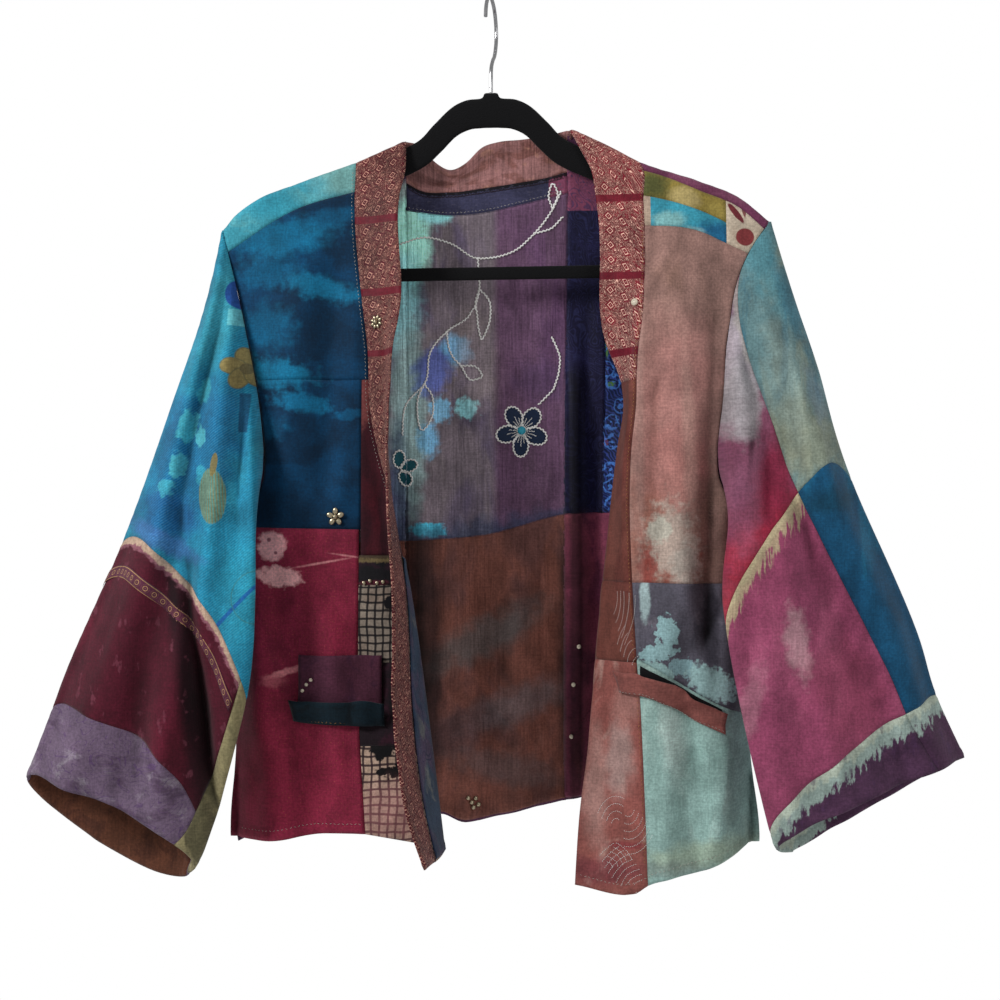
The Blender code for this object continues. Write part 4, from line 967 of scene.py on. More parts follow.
ROSE_CLOTH = dyed("rose_cloth", "8b6056", [
    ("76503f", 60, 1, 2, 0.5, 0.72, 0.5), ("9b6b60", 36, 1, 2.4, 0.5, 0.7, 0.6)], [
    (146.8, -314.7, 34, 50, 0, 0.5, 26, 0.6, "a2665e", 0.75),
    (137.5, -376.7, 26, 30, 0, 0.6, 20, 0.6, "a8645c", 0.6),
    (125.1, -434.9, 16, 40, 0, 0.5, 14, 0.5, "95503f", 0.6),
    (154.5, -353.5, 5, 60, 2, 0.7, 22, 0.7, "b98678", 0.5),
    (127.4, -345.7, 4, 44, -2, 0.7, 18, 0.7, "75443c", 0.5),
    (137.5, -440.3, 22, 27, 0, 0.6, 8, 0.2, "8b4438", 0.75),
    (140.6, -434.9, 20, 30, 6, 0.8, 7, 0.4, "a99082", 0.75),
    (151.4, -449.6, 10, 16, 0, 0.8, 6, 0.3, "ad9588", 0.7),
    (131.3, -423.3, 9, 10, 0, 0.7, 7, 0.16, "ad9a8a", 0.85),
    (122, -452.7, 7, 12, 0, 0.7, 6, 0.2, "8f3c34", 0.8),
    (115.8, -322.5, 3.5, 150, 0, 0.3, 20, 0.7, "a4756a", 0.5),
    # painted shade: the last oval is the dark fold down the right side
    (179.3, -353.5, 9, 150, 1, 0.3, 20, 0.7, "4c352f", 0.55)])
SLATE_CLOTH = dyed("slate_dyed", "454c56", [("343a44", 30, 1, 1.5, 0.5, 0.7, 0.7),
                                            ("5c636c", 24, 1, 1.5, 0.6, 0.75, 0.6)], [
    (119.6, -477.5, 4, 16, 0, 0.4, 6, 0.3, "8cb3b4", 0.85),
    (136.7, -502.4, 9, 12, 12, 0.8, 5, 0.1, "74a3a6", 0.95),
    (128.9, -517.9, 15, 7, 10, 0.8, 5, 0.1, "74a3a6", 0.95),
    (123.5, -533.4, 20, 8, -12, 0.6, 5, 0.12, "7aa9a8", 0.95),
    (149.9, -530.3, 12, 7, -20, 0.8, 5, 0.12, "6c9a9f", 0.9),
    (171.6, -542.7, 20, 12, -30, 0.7, 6, 0.15, "7aa8a8", 0.95),
    # painted shade: the last oval is a narrow dark fold at the right side
    (171.6, -500.8, 7, 34, 0, 0.4, 10, 0.4, "16171f", 0.75)])
MINT_CLOTH = dyed("mint_cloth", "82a59f", [
    ("6f948d", 50, 1, 1.6, 0.5, 0.7, 0.6), ("98b5ae", 30, 1, 2, 0.55, 0.75, 0.6)], [
    (140.6, -582.2, 9, 34, 8, 0.5, 12, 0.7, "a7bfb8", 0.6),
    (162.3, -675.3, 46, 10, 8, 0.6, 12, 0.6, "8c9c82", 0.55),
    (137.5, -685.3, 30, 6, 0, 0.6, 9, 0.5, "5f6a68", 0.5)])
WELT_RUST = dyed("welt_rust", "8a524c", [("6f3c38", 20, 2, 1, 0.5, 0.7, 0.6)])
WELT_TEAL = dyed("welt_teal", "112a36", [("0a1820", 16, 1, 1, 0.5, 0.7, 0.7)])
BAG_PLUM = dyed("pocket_plum", "42202f", [("33182a", 16, 1, 1, 0.5, 0.7, 0.7)])
# painted shadow: the left pocket's bag is near black to stand for the shade inside the opening
BAG_IN_SHADOW = dyed("pocket_black", "0c0b0f")
COLLAR_CLOTH = dyed("collar_brown", "744840", [
    ("542c22", 16, 1.6, 1, 0.45, 0.62, 0.7), ("8a5844", 12, 1.5, 1, 0.58, 0.75, 0.6)], [
    (-50.1, -138.1, 24, 5, 12, 0.5, 8, 0.5, "3a1d18", 0.6)], crinkle=0.9)


def frayed(dye):
    dye.over(box_mask(dye, 46.5, 200, -300, 0, 0.3), "83445e", 0.95)
    v = dye.axis(dye.edge, 1)
    dye.over(dye.strip(v, 2.6, 2.0, (1.2, 2), 0.4), "100d10", 0.95)
    dye.over(dye.level(dye.noise(1.6, (3, 1), detail=2, shift=5), 0.62, 0.68), "4d4a5e", 0.5)


FACING_NAVY = dyed("navy_facing", "33334a", [("26263a", 30, 1.5, 1, 0.5, 0.7, 0.7)],
                   more=frayed)


def vertical_warp(dye):
    """Warp-faced right half, and a dyed lower edge."""
    right = box_mask(dye, 3.1, 200, -440, -120, 5.0)
    dye.over(right, "603c5e", 0.8)
    z = dye.math("MULTIPLY_ADD", dye.axis(dye.flat, 0), -0.135)
    dye.put(z.node.inputs[2], dye.axis(dye.flat, 1))
    low = dye.math("ADD", z, dye.math("MULTIPLY", dye.noise(16, detail=4), 26.0))
    dye.over(dye.level(low, -412, -394, (1, 0)), "3a4866", 0.72)


LINING_MAIN = dyed("mauve_crinkle", "5c454c", [
    ("48344a", 44, 1, 2.4, 0.48, 0.66, 0.7), ("71585a", 30, 1, 2.6, 0.55, 0.75, 0.6)], [
    (-68.1, -191.3, 18, 36, 0, 0.45, 16, 0.35, "93b0a6", 0.92),
    (-45.2, -165.9, 14, 12, 0, 0.55, 10, 0.35, "7c9ea2", 0.85),
    (-76.3, -236.3, 18, 40, 0, 0.45, 12, 0.4, "7b98a0", 0.85),
    (-68.1, -334.5, 14, 80, 0, 0.4, 12, 0.4, "85888a", 0.8),
    (-28.8, -277.2, 12, 12, 0, 0.6, 9, 0.4, "5b7fa0", 0.75),
    (-48.5, -295.2, 14, 20, -20, 0.6, 9, 0.4, "474a86", 0.7),
    (-19.8, -324.7, 9, 8, 0, 0.7, 5, 0.3, "86aab2", 0.75),
    (-41.9, -326.3, 9, 10, 0, 0.7, 6, 0.3, "6d8fae", 0.7),
    (-51.7, -350.9, 8, 14, 0, 0.6, 7, 0.4, "5f86a8", 0.7),
    (-9.2, -285.4, 18, 40, 10, 0.5, 14, 0.6, "8a6a6a", 0.45),
    (-51.7, -424.6, 14, 6, 0, 0.6, 5, 0.25, "3f8ca4", 0.9),
    (39.9, -301.8, 20, 16, 0, 0.6, 12, 0.5, "46405e", 0.5),
    (-76.3, -400, 9, 60, 0, 0.4, 12, 0.4, "2c2a44", 0.8)],
    slub=0.08, crinkle=0.7, more=vertical_warp)
LINING_RUST = dyed("rust_lining", "71412f", [
    ("54352c", 46, 1, 1.8, 0.45, 0.65, 0.7), ("83503c", 30, 1, 2, 0.58, 0.75, 0.6)], [
    (-9.2, -514.6, 52, 15, 28, 0.6, 16, 0.6, "574e42", 0.75),
    (23.6, -567.8, 46, 13, 22, 0.6, 14, 0.6, "685a50", 0.6),
    (-33.7, -592.3, 34, 18, 10, 0.6, 14, 0.6, "4a342e", 0.7),
    (11.3, -621, 40, 12, -10, 0.6, 12, 0.6, "5c4a40", 0.6),
    # painted shade: these two ovals are the back's deep fold valleys, seen inside
    (-52.5, -514.6, 11, 140, 1, 0.3, 20, 0.6, "1a100e", 0.8),
    (66.1, -514.6, 9, 140, 0, 0.3, 20, 0.6, "1a100f", 0.75)], crinkle=0.5)


def damask(dye):
    dye.over(box_mask(dye, -200, 200, -165.9, 0, 0.3), "83445e", 0.95)
    ring = dye.math("PINGPONG", dye.noise(22, detail=1.0, warp=1.2, shift=31), 0.045)
    dye.over(dye.level(ring, 0.008, 0.02, (1, 0)), "2b2d55", 0.6)


NAVY_DAMASK = dyed("navy_damask", "131229", [("1d1c3c", 30, 1, 1.6, 0.5, 0.7, 0.7)],
                   rough=0.55, more=damask)


def lurex(dye):
    hatch = dye.move(dye.flat, turn=-58)
    bend = dye.math("ADD", dye.axis(hatch, 1), dye.math("MULTIPLY", dye.noise(20), 14.0))
    wave = dye.math("PINGPONG", bend, 1.2)
    dye.over(dye.level(wave, 0.3, 0.6, (1, 0)), "3a4c9c", 0.55)
    petal = dye.cells(17, shift=7)
    bloom = dye.math("PINGPONG", dye.math("ADD", petal, dye.math(
        "MULTIPLY", dye.noise(7, shift=3), 0.6)), 0.16)
    inside = dye.level(petal, 0.34, 0.44, (1, 0))
    dye.over(dye.math("MULTIPLY", dye.level(bloom, 0.03, 0.08, (1, 0)), inside), "4a7fd0", 0.8)


BLUE_LUREX = dyed("blue_lurex", "222b66", [("1a2050", 26, 1, 1.5, 0.5, 0.7, 0.7)], [
    (89, -344.3, 5, 3, 60, 0.2, 5, 0.2, "b4566c", 0.9),
    (82.5, -349.3, 5, 2.4, -35, 0.2, 5, 0.2, "b4566c", 0.9),
    (94.8, -351.7, 4, 2.2, -70, 0.2, 5, 0.2, "a84a62", 0.9),
    (94, -273.1, 1.2, 10, 6, 0.3, 5, 0.3, "7fa05a", 0.8),
    (98, -305.1, 3.4, 2.4, 20, 0.3, 5, 0.3, "8fae5c", 0.8)], rough=0.5, more=lurex)
PLUM_LINING = dyed("plum_lining", "5c2c40", [
    ("6c3c46", 30, 1, 2, 0.5, 0.7, 0.7), ("3c1a30", 26, 1, 1.6, 0.5, 0.7, 0.7)])
BACK_DYED = dyed("plum_back", "55304c", [
    ("6d4a60", 50, 1, 1.6, 0.5, 0.7, 0.6), ("3b2440", 44, 1, 1.6, 0.5, 0.72, 0.6)])


def printed_sleeve(dye):
    """Diagonal weave, a flower, a pod, a part circle and a blue stem."""
    twill = dye.move(dye.flat, turn=38)
    dye.over(lines(dye, twill, 1, 1.7, 0.6), "8fccd0", 0.12)
    half = dye.spot(-198.1, -236.7, 12, 12.5, 0, 0, 6, 0.05)
    dye.over(half, "20468f", 0.95)
    dye.over(box_mask(dye, -206.5, -185.9, -263.4, -249.7, 0.3), "5fb0ba", 0.95)
    x, z = -191.2, -297.7
    petals(dye, x, z, 8.5, 6.0, 5, 28, "8b7d4e", "6f6a48")
    dye.over(dye.spot(x, z, 4.5, 4.5, 0, 0, 6, 0.08), "6a6040")
    dye.over(box_mask(dye, -194.3, -186.6, -348.1, -317.6, 0.6), "173a5e", 0.75)
    pod = dye.spot(-211, -396.9, 10.5, 21, 4, 0.03, 6, 0.05)
    dye.over(pod, "5f8a7c", 0.95)
    grain = dye.math("MULTIPLY", lines(dye, dye.move(dye.flat, turn=4), 0, 2.0, 0.6), pod)
    dye.over(grain, "7f7448", 0.9)
    dye.over(dye.spot(-209.5, -373.3, 2.6, 9, -8, 0.03, 6, 0.06), "7f7448", 0.95)
    dye.over(dye.spot(-196.5, -485.5, 44, 1.5, 47, 0.1, 8, 0.15), "1f62a6", 0.95)
    arc = dye.length(dye.move(dye.flat, (-174.4, -473.3)))
    ring = dye.math("ABSOLUTE", dye.math("SUBTRACT", arc, 20.0))
    dye.over(dye.level(ring, 0.3, 0.7, (1, 0)), "3a7f86", 0.7)


TURQ_SLEEVE = dyed("turquoise_print_sleeve", "2795b2", [
    ("58b2be", 44, 1, 2, 0.5, 0.7, 0.6), ("177894", 34, 1, 2.4, 0.52, 0.7, 0.6)], [
    (-209.5, -247.4, 14, 60, -14, 0.4, 16, 0.5, "63aeb4", 0.6),
    (-192.7, -216.9, 8, 26, -10, 0.4, 12, 0.5, "74aba4", 0.7),
    (-227.8, -361.8, 34, 52, -20, 0.4, 16, 0.35, "13709c", 0.85),
    (-246.1, -411.4, 26, 16, -24, 0.5, 10, 0.4, "23669f", 0.8),
    (-221.7, -316.1, 6, 10, -14, 0.7, 7, 0.2, "6cc0c8", 0.85),
    (-233.9, -342.8, 7, 13, -10, 0.8, 7, 0.2, "6cc0c8", 0.85),
    (-223.2, -351.2, 5, 8, 10, 0.8, 6, 0.2, "8ccfd0", 0.8),
    (-240, -372.5, 6, 9, -12, 0.8, 6, 0.2, "7cc8cc", 0.8),
    (-249.2, -390.8, 6, 6, 0, 0.8, 6, 0.2, "6cc0c8", 0.7),
    (-220.2, -380.9, 4, 9, 0, 0.8, 6, 0.2, "5ab6c4", 0.7),
    (-252.2, -430.5, 34, 8, -26, 0.5, 8, 0.4, "6474ae", 0.8),
    (-187.4, -468.7, 16, 40, 0, 0.4, 16, 0.6, "3fb0c4", 0.6)], more=printed_sleeve)


def sleeve_drips_and_fold_shade(dye):
    # painted shade: three dark ovals down the sleeve's deep fold valleys; the rest of this function
    # is drips and mottling
    for x, z, rx, rz, turn in ((-227.8, -528.2, 5.5, 88, 4), (-212.6, -613.7, 8, 80, 7),
                               (-240, -476.3, 5, 36, 8)):
        dye.over(dye.spot(x, z, rx, rz, turn, 0.15, 20, 0.75), "12040a", 0.85)
    borders(dye, 8.5, 4.5, "8d5a66", 0.85, (6, 5), 1.5)
    borders(dye, 5.5, 4.0, "c2a890", 0.85, (5, 5), 1.0)
    dye.over(dye.level(dye.noise(9, (1, 2), detail=4, shift=21), 0.63, 0.72), "7e4252", 0.35)


MAROON_SLEEVE = dyed("maroon_sleeve", "4e1429", [
    ("641c34", 50, 1, 1.6, 0.48, 0.7, 0.7), ("3c0e20", 40, 1, 2, 0.55, 0.75, 0.6)],
    more=sleeve_drips_and_fold_shade)
OLIVE_SLEEVE = dyed("olive_sleeve", "8c8360", [
    ("4e4a36", 24, 1, 2.4, 0.48, 0.62, 0.85), ("b3aa86", 24, 1, 2, 0.58, 0.72, 0.8)])


def veins(dye):
    ring = dye.math("PINGPONG", dye.noise(17, (1.4, 1), detail=2, warp=0.7, shift=2), 0.07)
    dye.over(dye.level(ring, 0.003, 0.012, (1, 0)), "4f3560", 0.6)


CUFF_PURPLE = dyed("purple_cuff", "7d628a", [
    ("5e4468", 20, 1.5, 1, 0.5, 0.68, 0.8), ("a590b2", 16, 1.5, 1, 0.58, 0.72, 0.7)],
    more=veins)
CUFF_BROWN = dyed("brown_cuff_facing", "5d3727", [
    ("43251c", 20, 1, 1, 0.48, 0.66, 0.7)], [
    (-276.7, -628.9, 20, 14, -24, 0.3, 9, 0.15, "0f3346", 0.95)], crinkle=0.4)
SEA_SLEEVE = dyed("sea_green_sleeve", "7f9d90", [
    ("adae8b", 26, 1, 4, 0.5, 0.66, 0.75), ("44828a", 20, 1, 4.5, 0.56, 0.7, 0.7)], [
    (214.8, -209.2, 12, 44, 12, 0.5, 14, 0.5, "62a09c", 0.7),
    (236.1, -247.4, 7, 36, 16, 0.6, 10, 0.5, "3f7d86", 0.6),
    (245.3, -354.2, 34, 26, 0, 0.5, 14, 0.5, "b2ac84", 0.8),
    (227, -308.4, 12, 50, 10, 0.5, 12, 0.5, "a9b095", 0.6),
    (252.9, -319.9, 9, 22, 16, 0.6, 10, 0.4, "8f9a94", 0.6)])
RED_SLEEVE = dyed("mauve_to_red_sleeve", "7b4258", [
    ("6a3352", 34, 1, 2, 0.48, 0.68, 0.7)], [
    # painted shade: the first oval is a dark line down the fold between the mauve and the purple
    (203.3, -319.9, 2.5, 56, -8, 0.4, 12, 0.7, "2a1420", 0.75),
    (188.8, -281.7, 22, 62, 4, 0.45, 16, 0.3, "a2959c", 0.9),
    (193.4, -323.7, 16, 30, 0, 0.5, 12, 0.3, "9a8f92", 0.8),
    (188.8, -241.3, 16, 13, 0, 0.5, 9, 0.35, "6a3a5c", 0.85),
    (198, -255, 6, 40, 8, 0.5, 9, 0.4, "b0a59c", 0.6),
    (214.8, -434.3, 46, 34, 38, 0.4, 18, 0.6, "9c2030", 0.95),
    (181.2, -483.9, 26, 18, 26, 0.4, 12, 0.5, "9a2f3c", 0.85),
    (216.3, -386.3, 13, 44, -14, 0.5, 12, 0.6, "82203a", 0.85),
    (188.8, -403.8, 14, 34, 0, 0.5, 16, 0.6, "8a5068", 0.6)])


def cream_drips(dye):
    borders(dye, 12, 18, "b3a684", 0.8, (4, 24), 2.5)
    borders(dye, 5, 5, "c0b490", 0.7, (5, 9), 2.0)


PLUM_SLEEVE = dyed("plum_sleeve", "7a3452", [
    ("8c4260", 40, 1, 2, 0.48, 0.7, 0.7), ("642842", 40, 1, 1.6, 0.55, 0.75, 0.6)], [
    (228.5, -506.8, 9, 26, 8, 0.7, 9, 0.4, "a2808a", 0.5),
    (194.2, -552.6, 8, 30, -14, 0.7, 9, 0.5, "9a6478", 0.5),
    (266.6, -545, 26, 40, 20, 0.5, 16, 0.6, "8a3a56", 0.5)], more=cream_drips)
NAVY_SLEEVE = dyed("deep_blue_sleeve", "12466a", [
    ("1a6488", 50, 1, 2, 0.48, 0.7, 0.7), ("0c3250", 40, 1, 2, 0.55, 0.72, 0.7)], [
    (262.8, -400, 20, 9, 8, 0.5, 9, 0.5, "0f3a52", 0.7)])


def cuff_drips(dye):
    borders(dye, 15, 14, "9aaea6", 0.9, (4, 11), 2.0)
    borders(dye, 6, 8, "b2bcab", 0.8, (5, 11), 2.0)
    dye.over(dye.level(dye.noise(8, (1, 2.4), detail=4, shift=77), 0.6, 0.7), "4a2f50", 0.5)


CUFF_DRIPPED = dyed("dripped_cuff", "6c4668", [
    ("553656", 24, 1, 1.6, 0.48, 0.66, 0.7), ("86587c", 20, 1, 1.4, 0.56, 0.72, 0.6)],
    more=cuff_drips)
BROCADE_R = brocade("brocade_right", "581420", "430e18", "d09a86",
                    [(176, 182), (234, 240), (283, 288)])
BROCADE_L = brocade("brocade_left", "84222f", "661824", "ffcdb8",
                    [(157, 163), (220, 226), (280, 286)])


# Cloth pieces

CELL = 3.0                  # side of a mesh cell
DIP, DIP_WIDE = 0.35, 1.5   # a seam's groove
HEM_SWELL, HEM_WIDE = 0.45, 7.0
made, CUT = {}, {}


def build(name, verts, faces, mat):
    """A smooth mesh of the part, from places in millimetres."""
    mesh = bpy.data.meshes.new(name)
    mesh.from_pydata((np.array(verts) * MM).tolist(), [], faces)
    mesh.polygons.foreach_set("use_smooth", np.ones(len(faces), bool))
    mesh.materials.append(mat)
    mesh.update()
    obj = bpy.data.objects.new(name, mesh)
    bpy.context.scene.collection.objects.link(obj)
    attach(obj, "root")
    return obj


def along(mid, axis):
    step = np.linalg.norm(np.diff(mid, axis=axis), axis=-1)
    first = np.zeros_like(step[:1] if axis == 0 else step[:, :1])
    return np.concatenate([first, np.cumsum(step, axis=axis)], axis)


def unit_normals(mid, way):
    n = np.cross(np.gradient(mid, axis=0), np.gradient(mid, axis=1)) * way
    return n / np.maximum(np.linalg.norm(n, axis=-1, keepdims=True), 1e-9)


def shell(node, mid, flat, way, low, high, look, free="", pucker=0.22, grow=1.0,
          stands_for=True):
    """Closed cloth wall with seam grooves, puckers and turned free edges.
    free names the edges, of L R T F, that are no seam."""
    rows, cols = mid.shape[:2]
    across, down = along(mid, 1), along(mid, 0)
    note_cut(node, mid, across, down)
    gaps = {"L": across, "R": across[:, -1:] - across, "T": down, "F": down[-1:] - down}
    n = unit_normals(mid, way)
    lift = np.zeros((rows, cols))
    swell = np.zeros((rows, cols))
    for key, d in gaps.items():
        run = down if key in "LR" else across
        if key in free:
            swell += HEM_SWELL * ease((HEM_WIDE + 1.0 - d) / 2.0) * grow
            lift += 0.3 * np.sin(run / 11.0 + 3 * np.sin(run / 37.0)) * np.exp(-d / 9.0)
        else:
            lift -= DIP * np.exp(-(d / DIP_WIDE) ** 2) * grow
            wave = np.sin(run / 2.1 + 2.0 * np.sin(run / 13.0)) * (0.6 + 0.4 * np.sin(run / 29.0))
            lift += pucker * wave * np.exp(-d / 6.0) * ease(d / 2.0)
    # bend of the cloth, for the painted shade in hollows and painted highlight on ridges
    fold = np.zeros((rows, cols))
    for reach, share in ((1, 0.5), (3, 0.3)):
        wide = np.pad(mid, ((reach, reach), (reach, reach), (0, 0)), mode="edge")
        around = (wide[:-2 * reach, reach:-reach] + wide[2 * reach:, reach:-reach]
                  + wide[reach:-reach, :-2 * reach] + wide[reach:-reach, 2 * reach:]) / 4
        fold += share * ((around - mid) * n).sum(-1)
    mid = mid + n * lift[..., None]
    round_off = np.ones((rows, cols))
    for key, d in gaps.items():
        if key in free:
            round_off = np.minimum(round_off, 0.35 + 0.65 * ease(d / 1.2))
    skins = [mid + n * ((side + np.sign(side) * swell) * round_off)[..., None]
             for side in (high, low)]
    verts = np.concatenate([p.reshape(-1, 3) for p in skins])
    index = np.arange(rows * cols).reshape(rows, cols)
    quads = np.stack([index[:-1, :-1], index[1:, :-1], index[1:, 1:], index[:-1, 1:]], -1)
    quads = quads.reshape(-1, 4)[:, ::way]
    loop = np.concatenate([index[0, :-1], index[:-1, -1], index[-1, :0:-1], index[:0:-1, 0]])
    nxt = np.roll(loop, -1)
    size = rows * cols
    rim = np.stack([loop, nxt, nxt + size, loop + size], -1)[:, ::way]
    faces = np.concatenate([quads, quads[:, ::-1] + size, rim])
    obj = build(node + "_cloth", verts, faces.tolist(), look)
    edge = np.stack([across, down], -1)
    # fold layer: value of the painted shade and highlight
    fold = np.stack([np.clip(0.5 + fold * FOLD_SHADE_GAIN, 0, 1), fold * 0], -1)
    for key, values in (("flat", flat), ("edge", edge), ("fold", fold)):
        both = np.concatenate([values.reshape(-1, 2)] * 2)
        layer = obj.data.uv_layers.new(name=key)
        layer.data.foreach_set("uv", both[faces.reshape(-1)].astype(np.float32).reshape(-1))
    if stands_for:
        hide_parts(node)
    made[node] = obj


def note_cut(node, mid, across, down):
    """Keeps the extent and area of a piece's middle, laid flat, in metres."""
    wide, long = across[:, -1].max(), down[-1].max()
    a, b = mid[1:, 1:] - mid[:-1, :-1], mid[1:, :-1] - mid[:-1, 1:]
    area = float(np.linalg.norm(np.cross(a, b), axis=-1).sum() / 2)
    CUT[node] = (float(wide) * MM, float(long) * MM, min(area, wide * long) * MM * MM)


def cells(length):
    return max(4, int(round(length / CELL)) + 1)


def flat_place(x, s):
    return np.stack([x, z_of(x, s)], -1)


def fine_grid(left, right, top, foot, inset):
    """A panel's grid of (x, s) with cells of the usual size."""
    x, s = panel_grid(left, right, top, foot, 5, 5, inset)
    cols, rows = cells(np.ptp(x, axis=1).max()), cells(np.ptp(s, axis=0).max())
    return panel_grid(left, right, top, foot, cols, rows, inset)


def front_cloth(node, side, left, right, top, foot, look, slot, free):
    x, s = fine_grid(left, right, top, foot, SEAM_IN)
    shell(node, own_side(FRONT[side](x, s), -1), flat_place(x, s), 1, -WALL, WALL, look,
          free)


def strip_cloth(node, r0, r1, c0, look, free, low=-WALL, high=WALL, inset=SEAM_IN):
    """A piece of the right front's turned strip, between rows and out to its edge."""
    x, s = cut(strip, r0, r1, c0, 15, inset)
    shell(node, FRONT["right"](x, s), flat_place(x, s), 1, low, high, look, free)


def sleeve_cloth(node, side, t0, t1, w0, w1, look, free="", low=-WALL, high=WALL, take=None):
    call = SLEEVE[side]

    def bound(value, at):
        return follow(value, at) if not np.isscalar(value) else np.full_like(at, float(value))

    def grid(rows, cols):
        u, v = np.meshgrid(np.linspace(0, 1, cols), np.linspace(0, 1, rows))
        t = v
        for _ in range(5):
            w = bound(w0, t) * (1 - u) + bound(w1, t) * u
            first, last = bound(t0, w), bound(t1, w)
            t = last * v ** 1.05 if np.isscalar(t0) and t0 == 0 else first * (1 - v) + last * v
        w = w - np.sign(w) * 0.08 * (1 - ease(t / 0.28)) * np.abs(w) ** 8
        return t, w
    t, w = grid(9, 9)
    rough = call(t, w)
    t, w = grid(cells(along(rough, 0)[-1].max()), cells(along(rough, 1)[:, -1].max()))
    mid = call(t, w)
    if take:
        r, c = take
        mid = mid[r:, c:-c]
    shell(node, mid, mid[..., [0, 2]], 1 if side == "right" else -1, low, high, look, free)

# The right front

SIDE_WIDER = 1.2            # each front's side over the solid's
FLARE_Z = -590              # below it the fronts flare


def side_r(z):
    return follow(SIDE_R, z) - SIDE_WIDER - 5 * ease((FLARE_Z - z) / 70)


def side_l(z):
    return follow(SIDE_L, z) + SIDE_WIDER + 9 * ease((FLARE_Z - z) / 80)


RIGHT_PARTS = (
    ("yoke", side_r, seam_r, None, YOKE_R, YOKE, "turquoise_print", ""),
    ("upper", side_r, seam_r, YOKE_R, MID_CHEST, TEAL_DYED, "teal_dye", ""),
    ("chest", side_r, STRIP_IN, MID_CHEST, CHEST_R, TEAL_DYED, "teal_dye", ""),
    ("plum_strip", STRIP_IN, seam_r, MID_CHEST, PLUM_FOOT, PLUM_STRIP, "plum", ""),
    ("lower", side_r, CHECK_IN, CHEST_R, HEM_R, MAROON_CLOTH, "maroon", "F"))
for label, *rest in RIGHT_PARTS:
    front_cloth("front_right_" + label, "right", *rest)

strip = net([CHECK_IN] + [near_edge(k / 14) for k in range(15)], STRIP_MARKS,
            [8, 20, 21, 26], 0)
STRIP_LOOKS = (("brown", DARK_PATCH, "brown", ""), ("check", CHECK, "check", ""),
               ("maroon", DARK_STRIP, "maroon", ""), ("low_check", LOW_CHECK, "check", "F"))
for k, (label, look, slot, free) in enumerate(STRIP_LOOKS):
    strip_cloth("front_right_strip_" + label, strip[2][k], strip[2][k + 1], 0, look, free)
strip_cloth("facing_right", 0, strip[2][-1], 1, BATIK, "TLF", -WALL - 1.4, -WALL - 0.4,
            (0.2, 0.2, 0.6, 1.0))
front_cloth("band_right", "right", seam_r, free_r, None, HEM_R, BROCADE_R, "brocade", "RF")

# The left front

BAND_PARTS = (("upper", None, 306, BROCADE_L, "brocade", "L"),
              ("lower", 306, 464, RUST_DARK, "brocade", "L"),
              ("embroidered", 464, 526, RUST_DARK, "rust", "L"),
              ("rust", 526, None, RUST_CLOTH, "rust", "LF"))
for label, top, foot, look, slot, free in BAND_PARTS:
    head = None if top is None else [(50, -top), (130, -top)]
    end = HEM_L if foot is None else [(50, -foot), (130, -foot)]
    front_cloth("band_left_" + label, "left", free_l, seam_l, head, end, look, slot, free)
LEFT_PARTS = (
    ("purple_strip", seam_l, side_l, None, OLIVE_TOP, PURPLE_DYED, "purple", ""),
    ("olive_strip", seam_l, PRINT_X, OLIVE_TOP, OLIVE_LOW, OLIVE_DYED, "olive", ""),
    ("turquoise_strip", seam_l, PRINT_X, OLIVE_LOW, TURQ_LOW, TURQ_DYED, "turquoise_print", ""),
    ("cream_print", PRINT_X, side_l, OLIVE_TOP, TURQ_LOW, PRINT, "cream", ""),
    ("main", seam_l, side_l, TURQ_LOW, MAIN_LOW, ROSE_CLOTH, "rose_brown", ""),
    ("slate", seam_l, side_l, MAIN_LOW, SLATE_LOW, SLATE_CLOTH, "slate", ""),
    ("mint", seam_l, side_l, SLATE_LOW, HEM_L, MINT_CLOTH, "mint", "F"))
for label, *rest in LEFT_PARTS:
    front_cloth("front_left_" + label, "left", *rest)


def on_front(node, side, left, right, top, foot, look, slot, height, lean, thick, free):
    """A pocket piece lying on a front; its upper edge stands out by lean."""
    x, s = fine_grid(left, right, top, foot, (SEAM,) * 4)
    mid = FRONT[side](x, s)
    n = unit_normals(mid, 1)
    v = np.linspace(1, 0, len(x))[:, None, None]
    mid = mid + n * (height + lean * v ** 1.5)
    shell(node, mid, flat_place(x, s), 1, -thick / 2, thick / 2, look, free, 0.1, 0.5)


WELT_R_HEIGHT, WELT_L_HEIGHT = 4.2, 3.2     # middle of each welt over the front's middle
for row in (
        ("pocket_right_lining", "right", -148, -84, [(-150, -520), (-80, -520)],
         [(-150, -560), (-80, -560)], BAG_PLUM, "plum", 3.0, 0, 1.0, "T"),
        ("pocket_right_welt", "right", -152, -82, [(-155, -554), (-80, -557)],
         [(-155, -572), (-80, -575)], WELT_TEAL, "teal_dye", WELT_R_HEIGHT, 6.5, 1.5,
         "TLRF"),
        # painted shadow: near-black bag inside the left pocket's opening
        ("pocket_left_lining", "left", 116, 179, [(114, -527), (180, -563)],
         [(114, -541), (180, -575)], BAG_IN_SHADOW, "black_lining", 2.6, 0, 1.0, "T"),
        ("pocket_left_welt", "left", 99, 181, [(90, -531), (116, -535), (182, -566)],
         [(90, -549), (116, -552), (182, -583)], WELT_RUST, "rust", WELT_L_HEIGHT, 8.0,
         1.5, "TLRF")):
    on_front(*row)

# The back, both layers

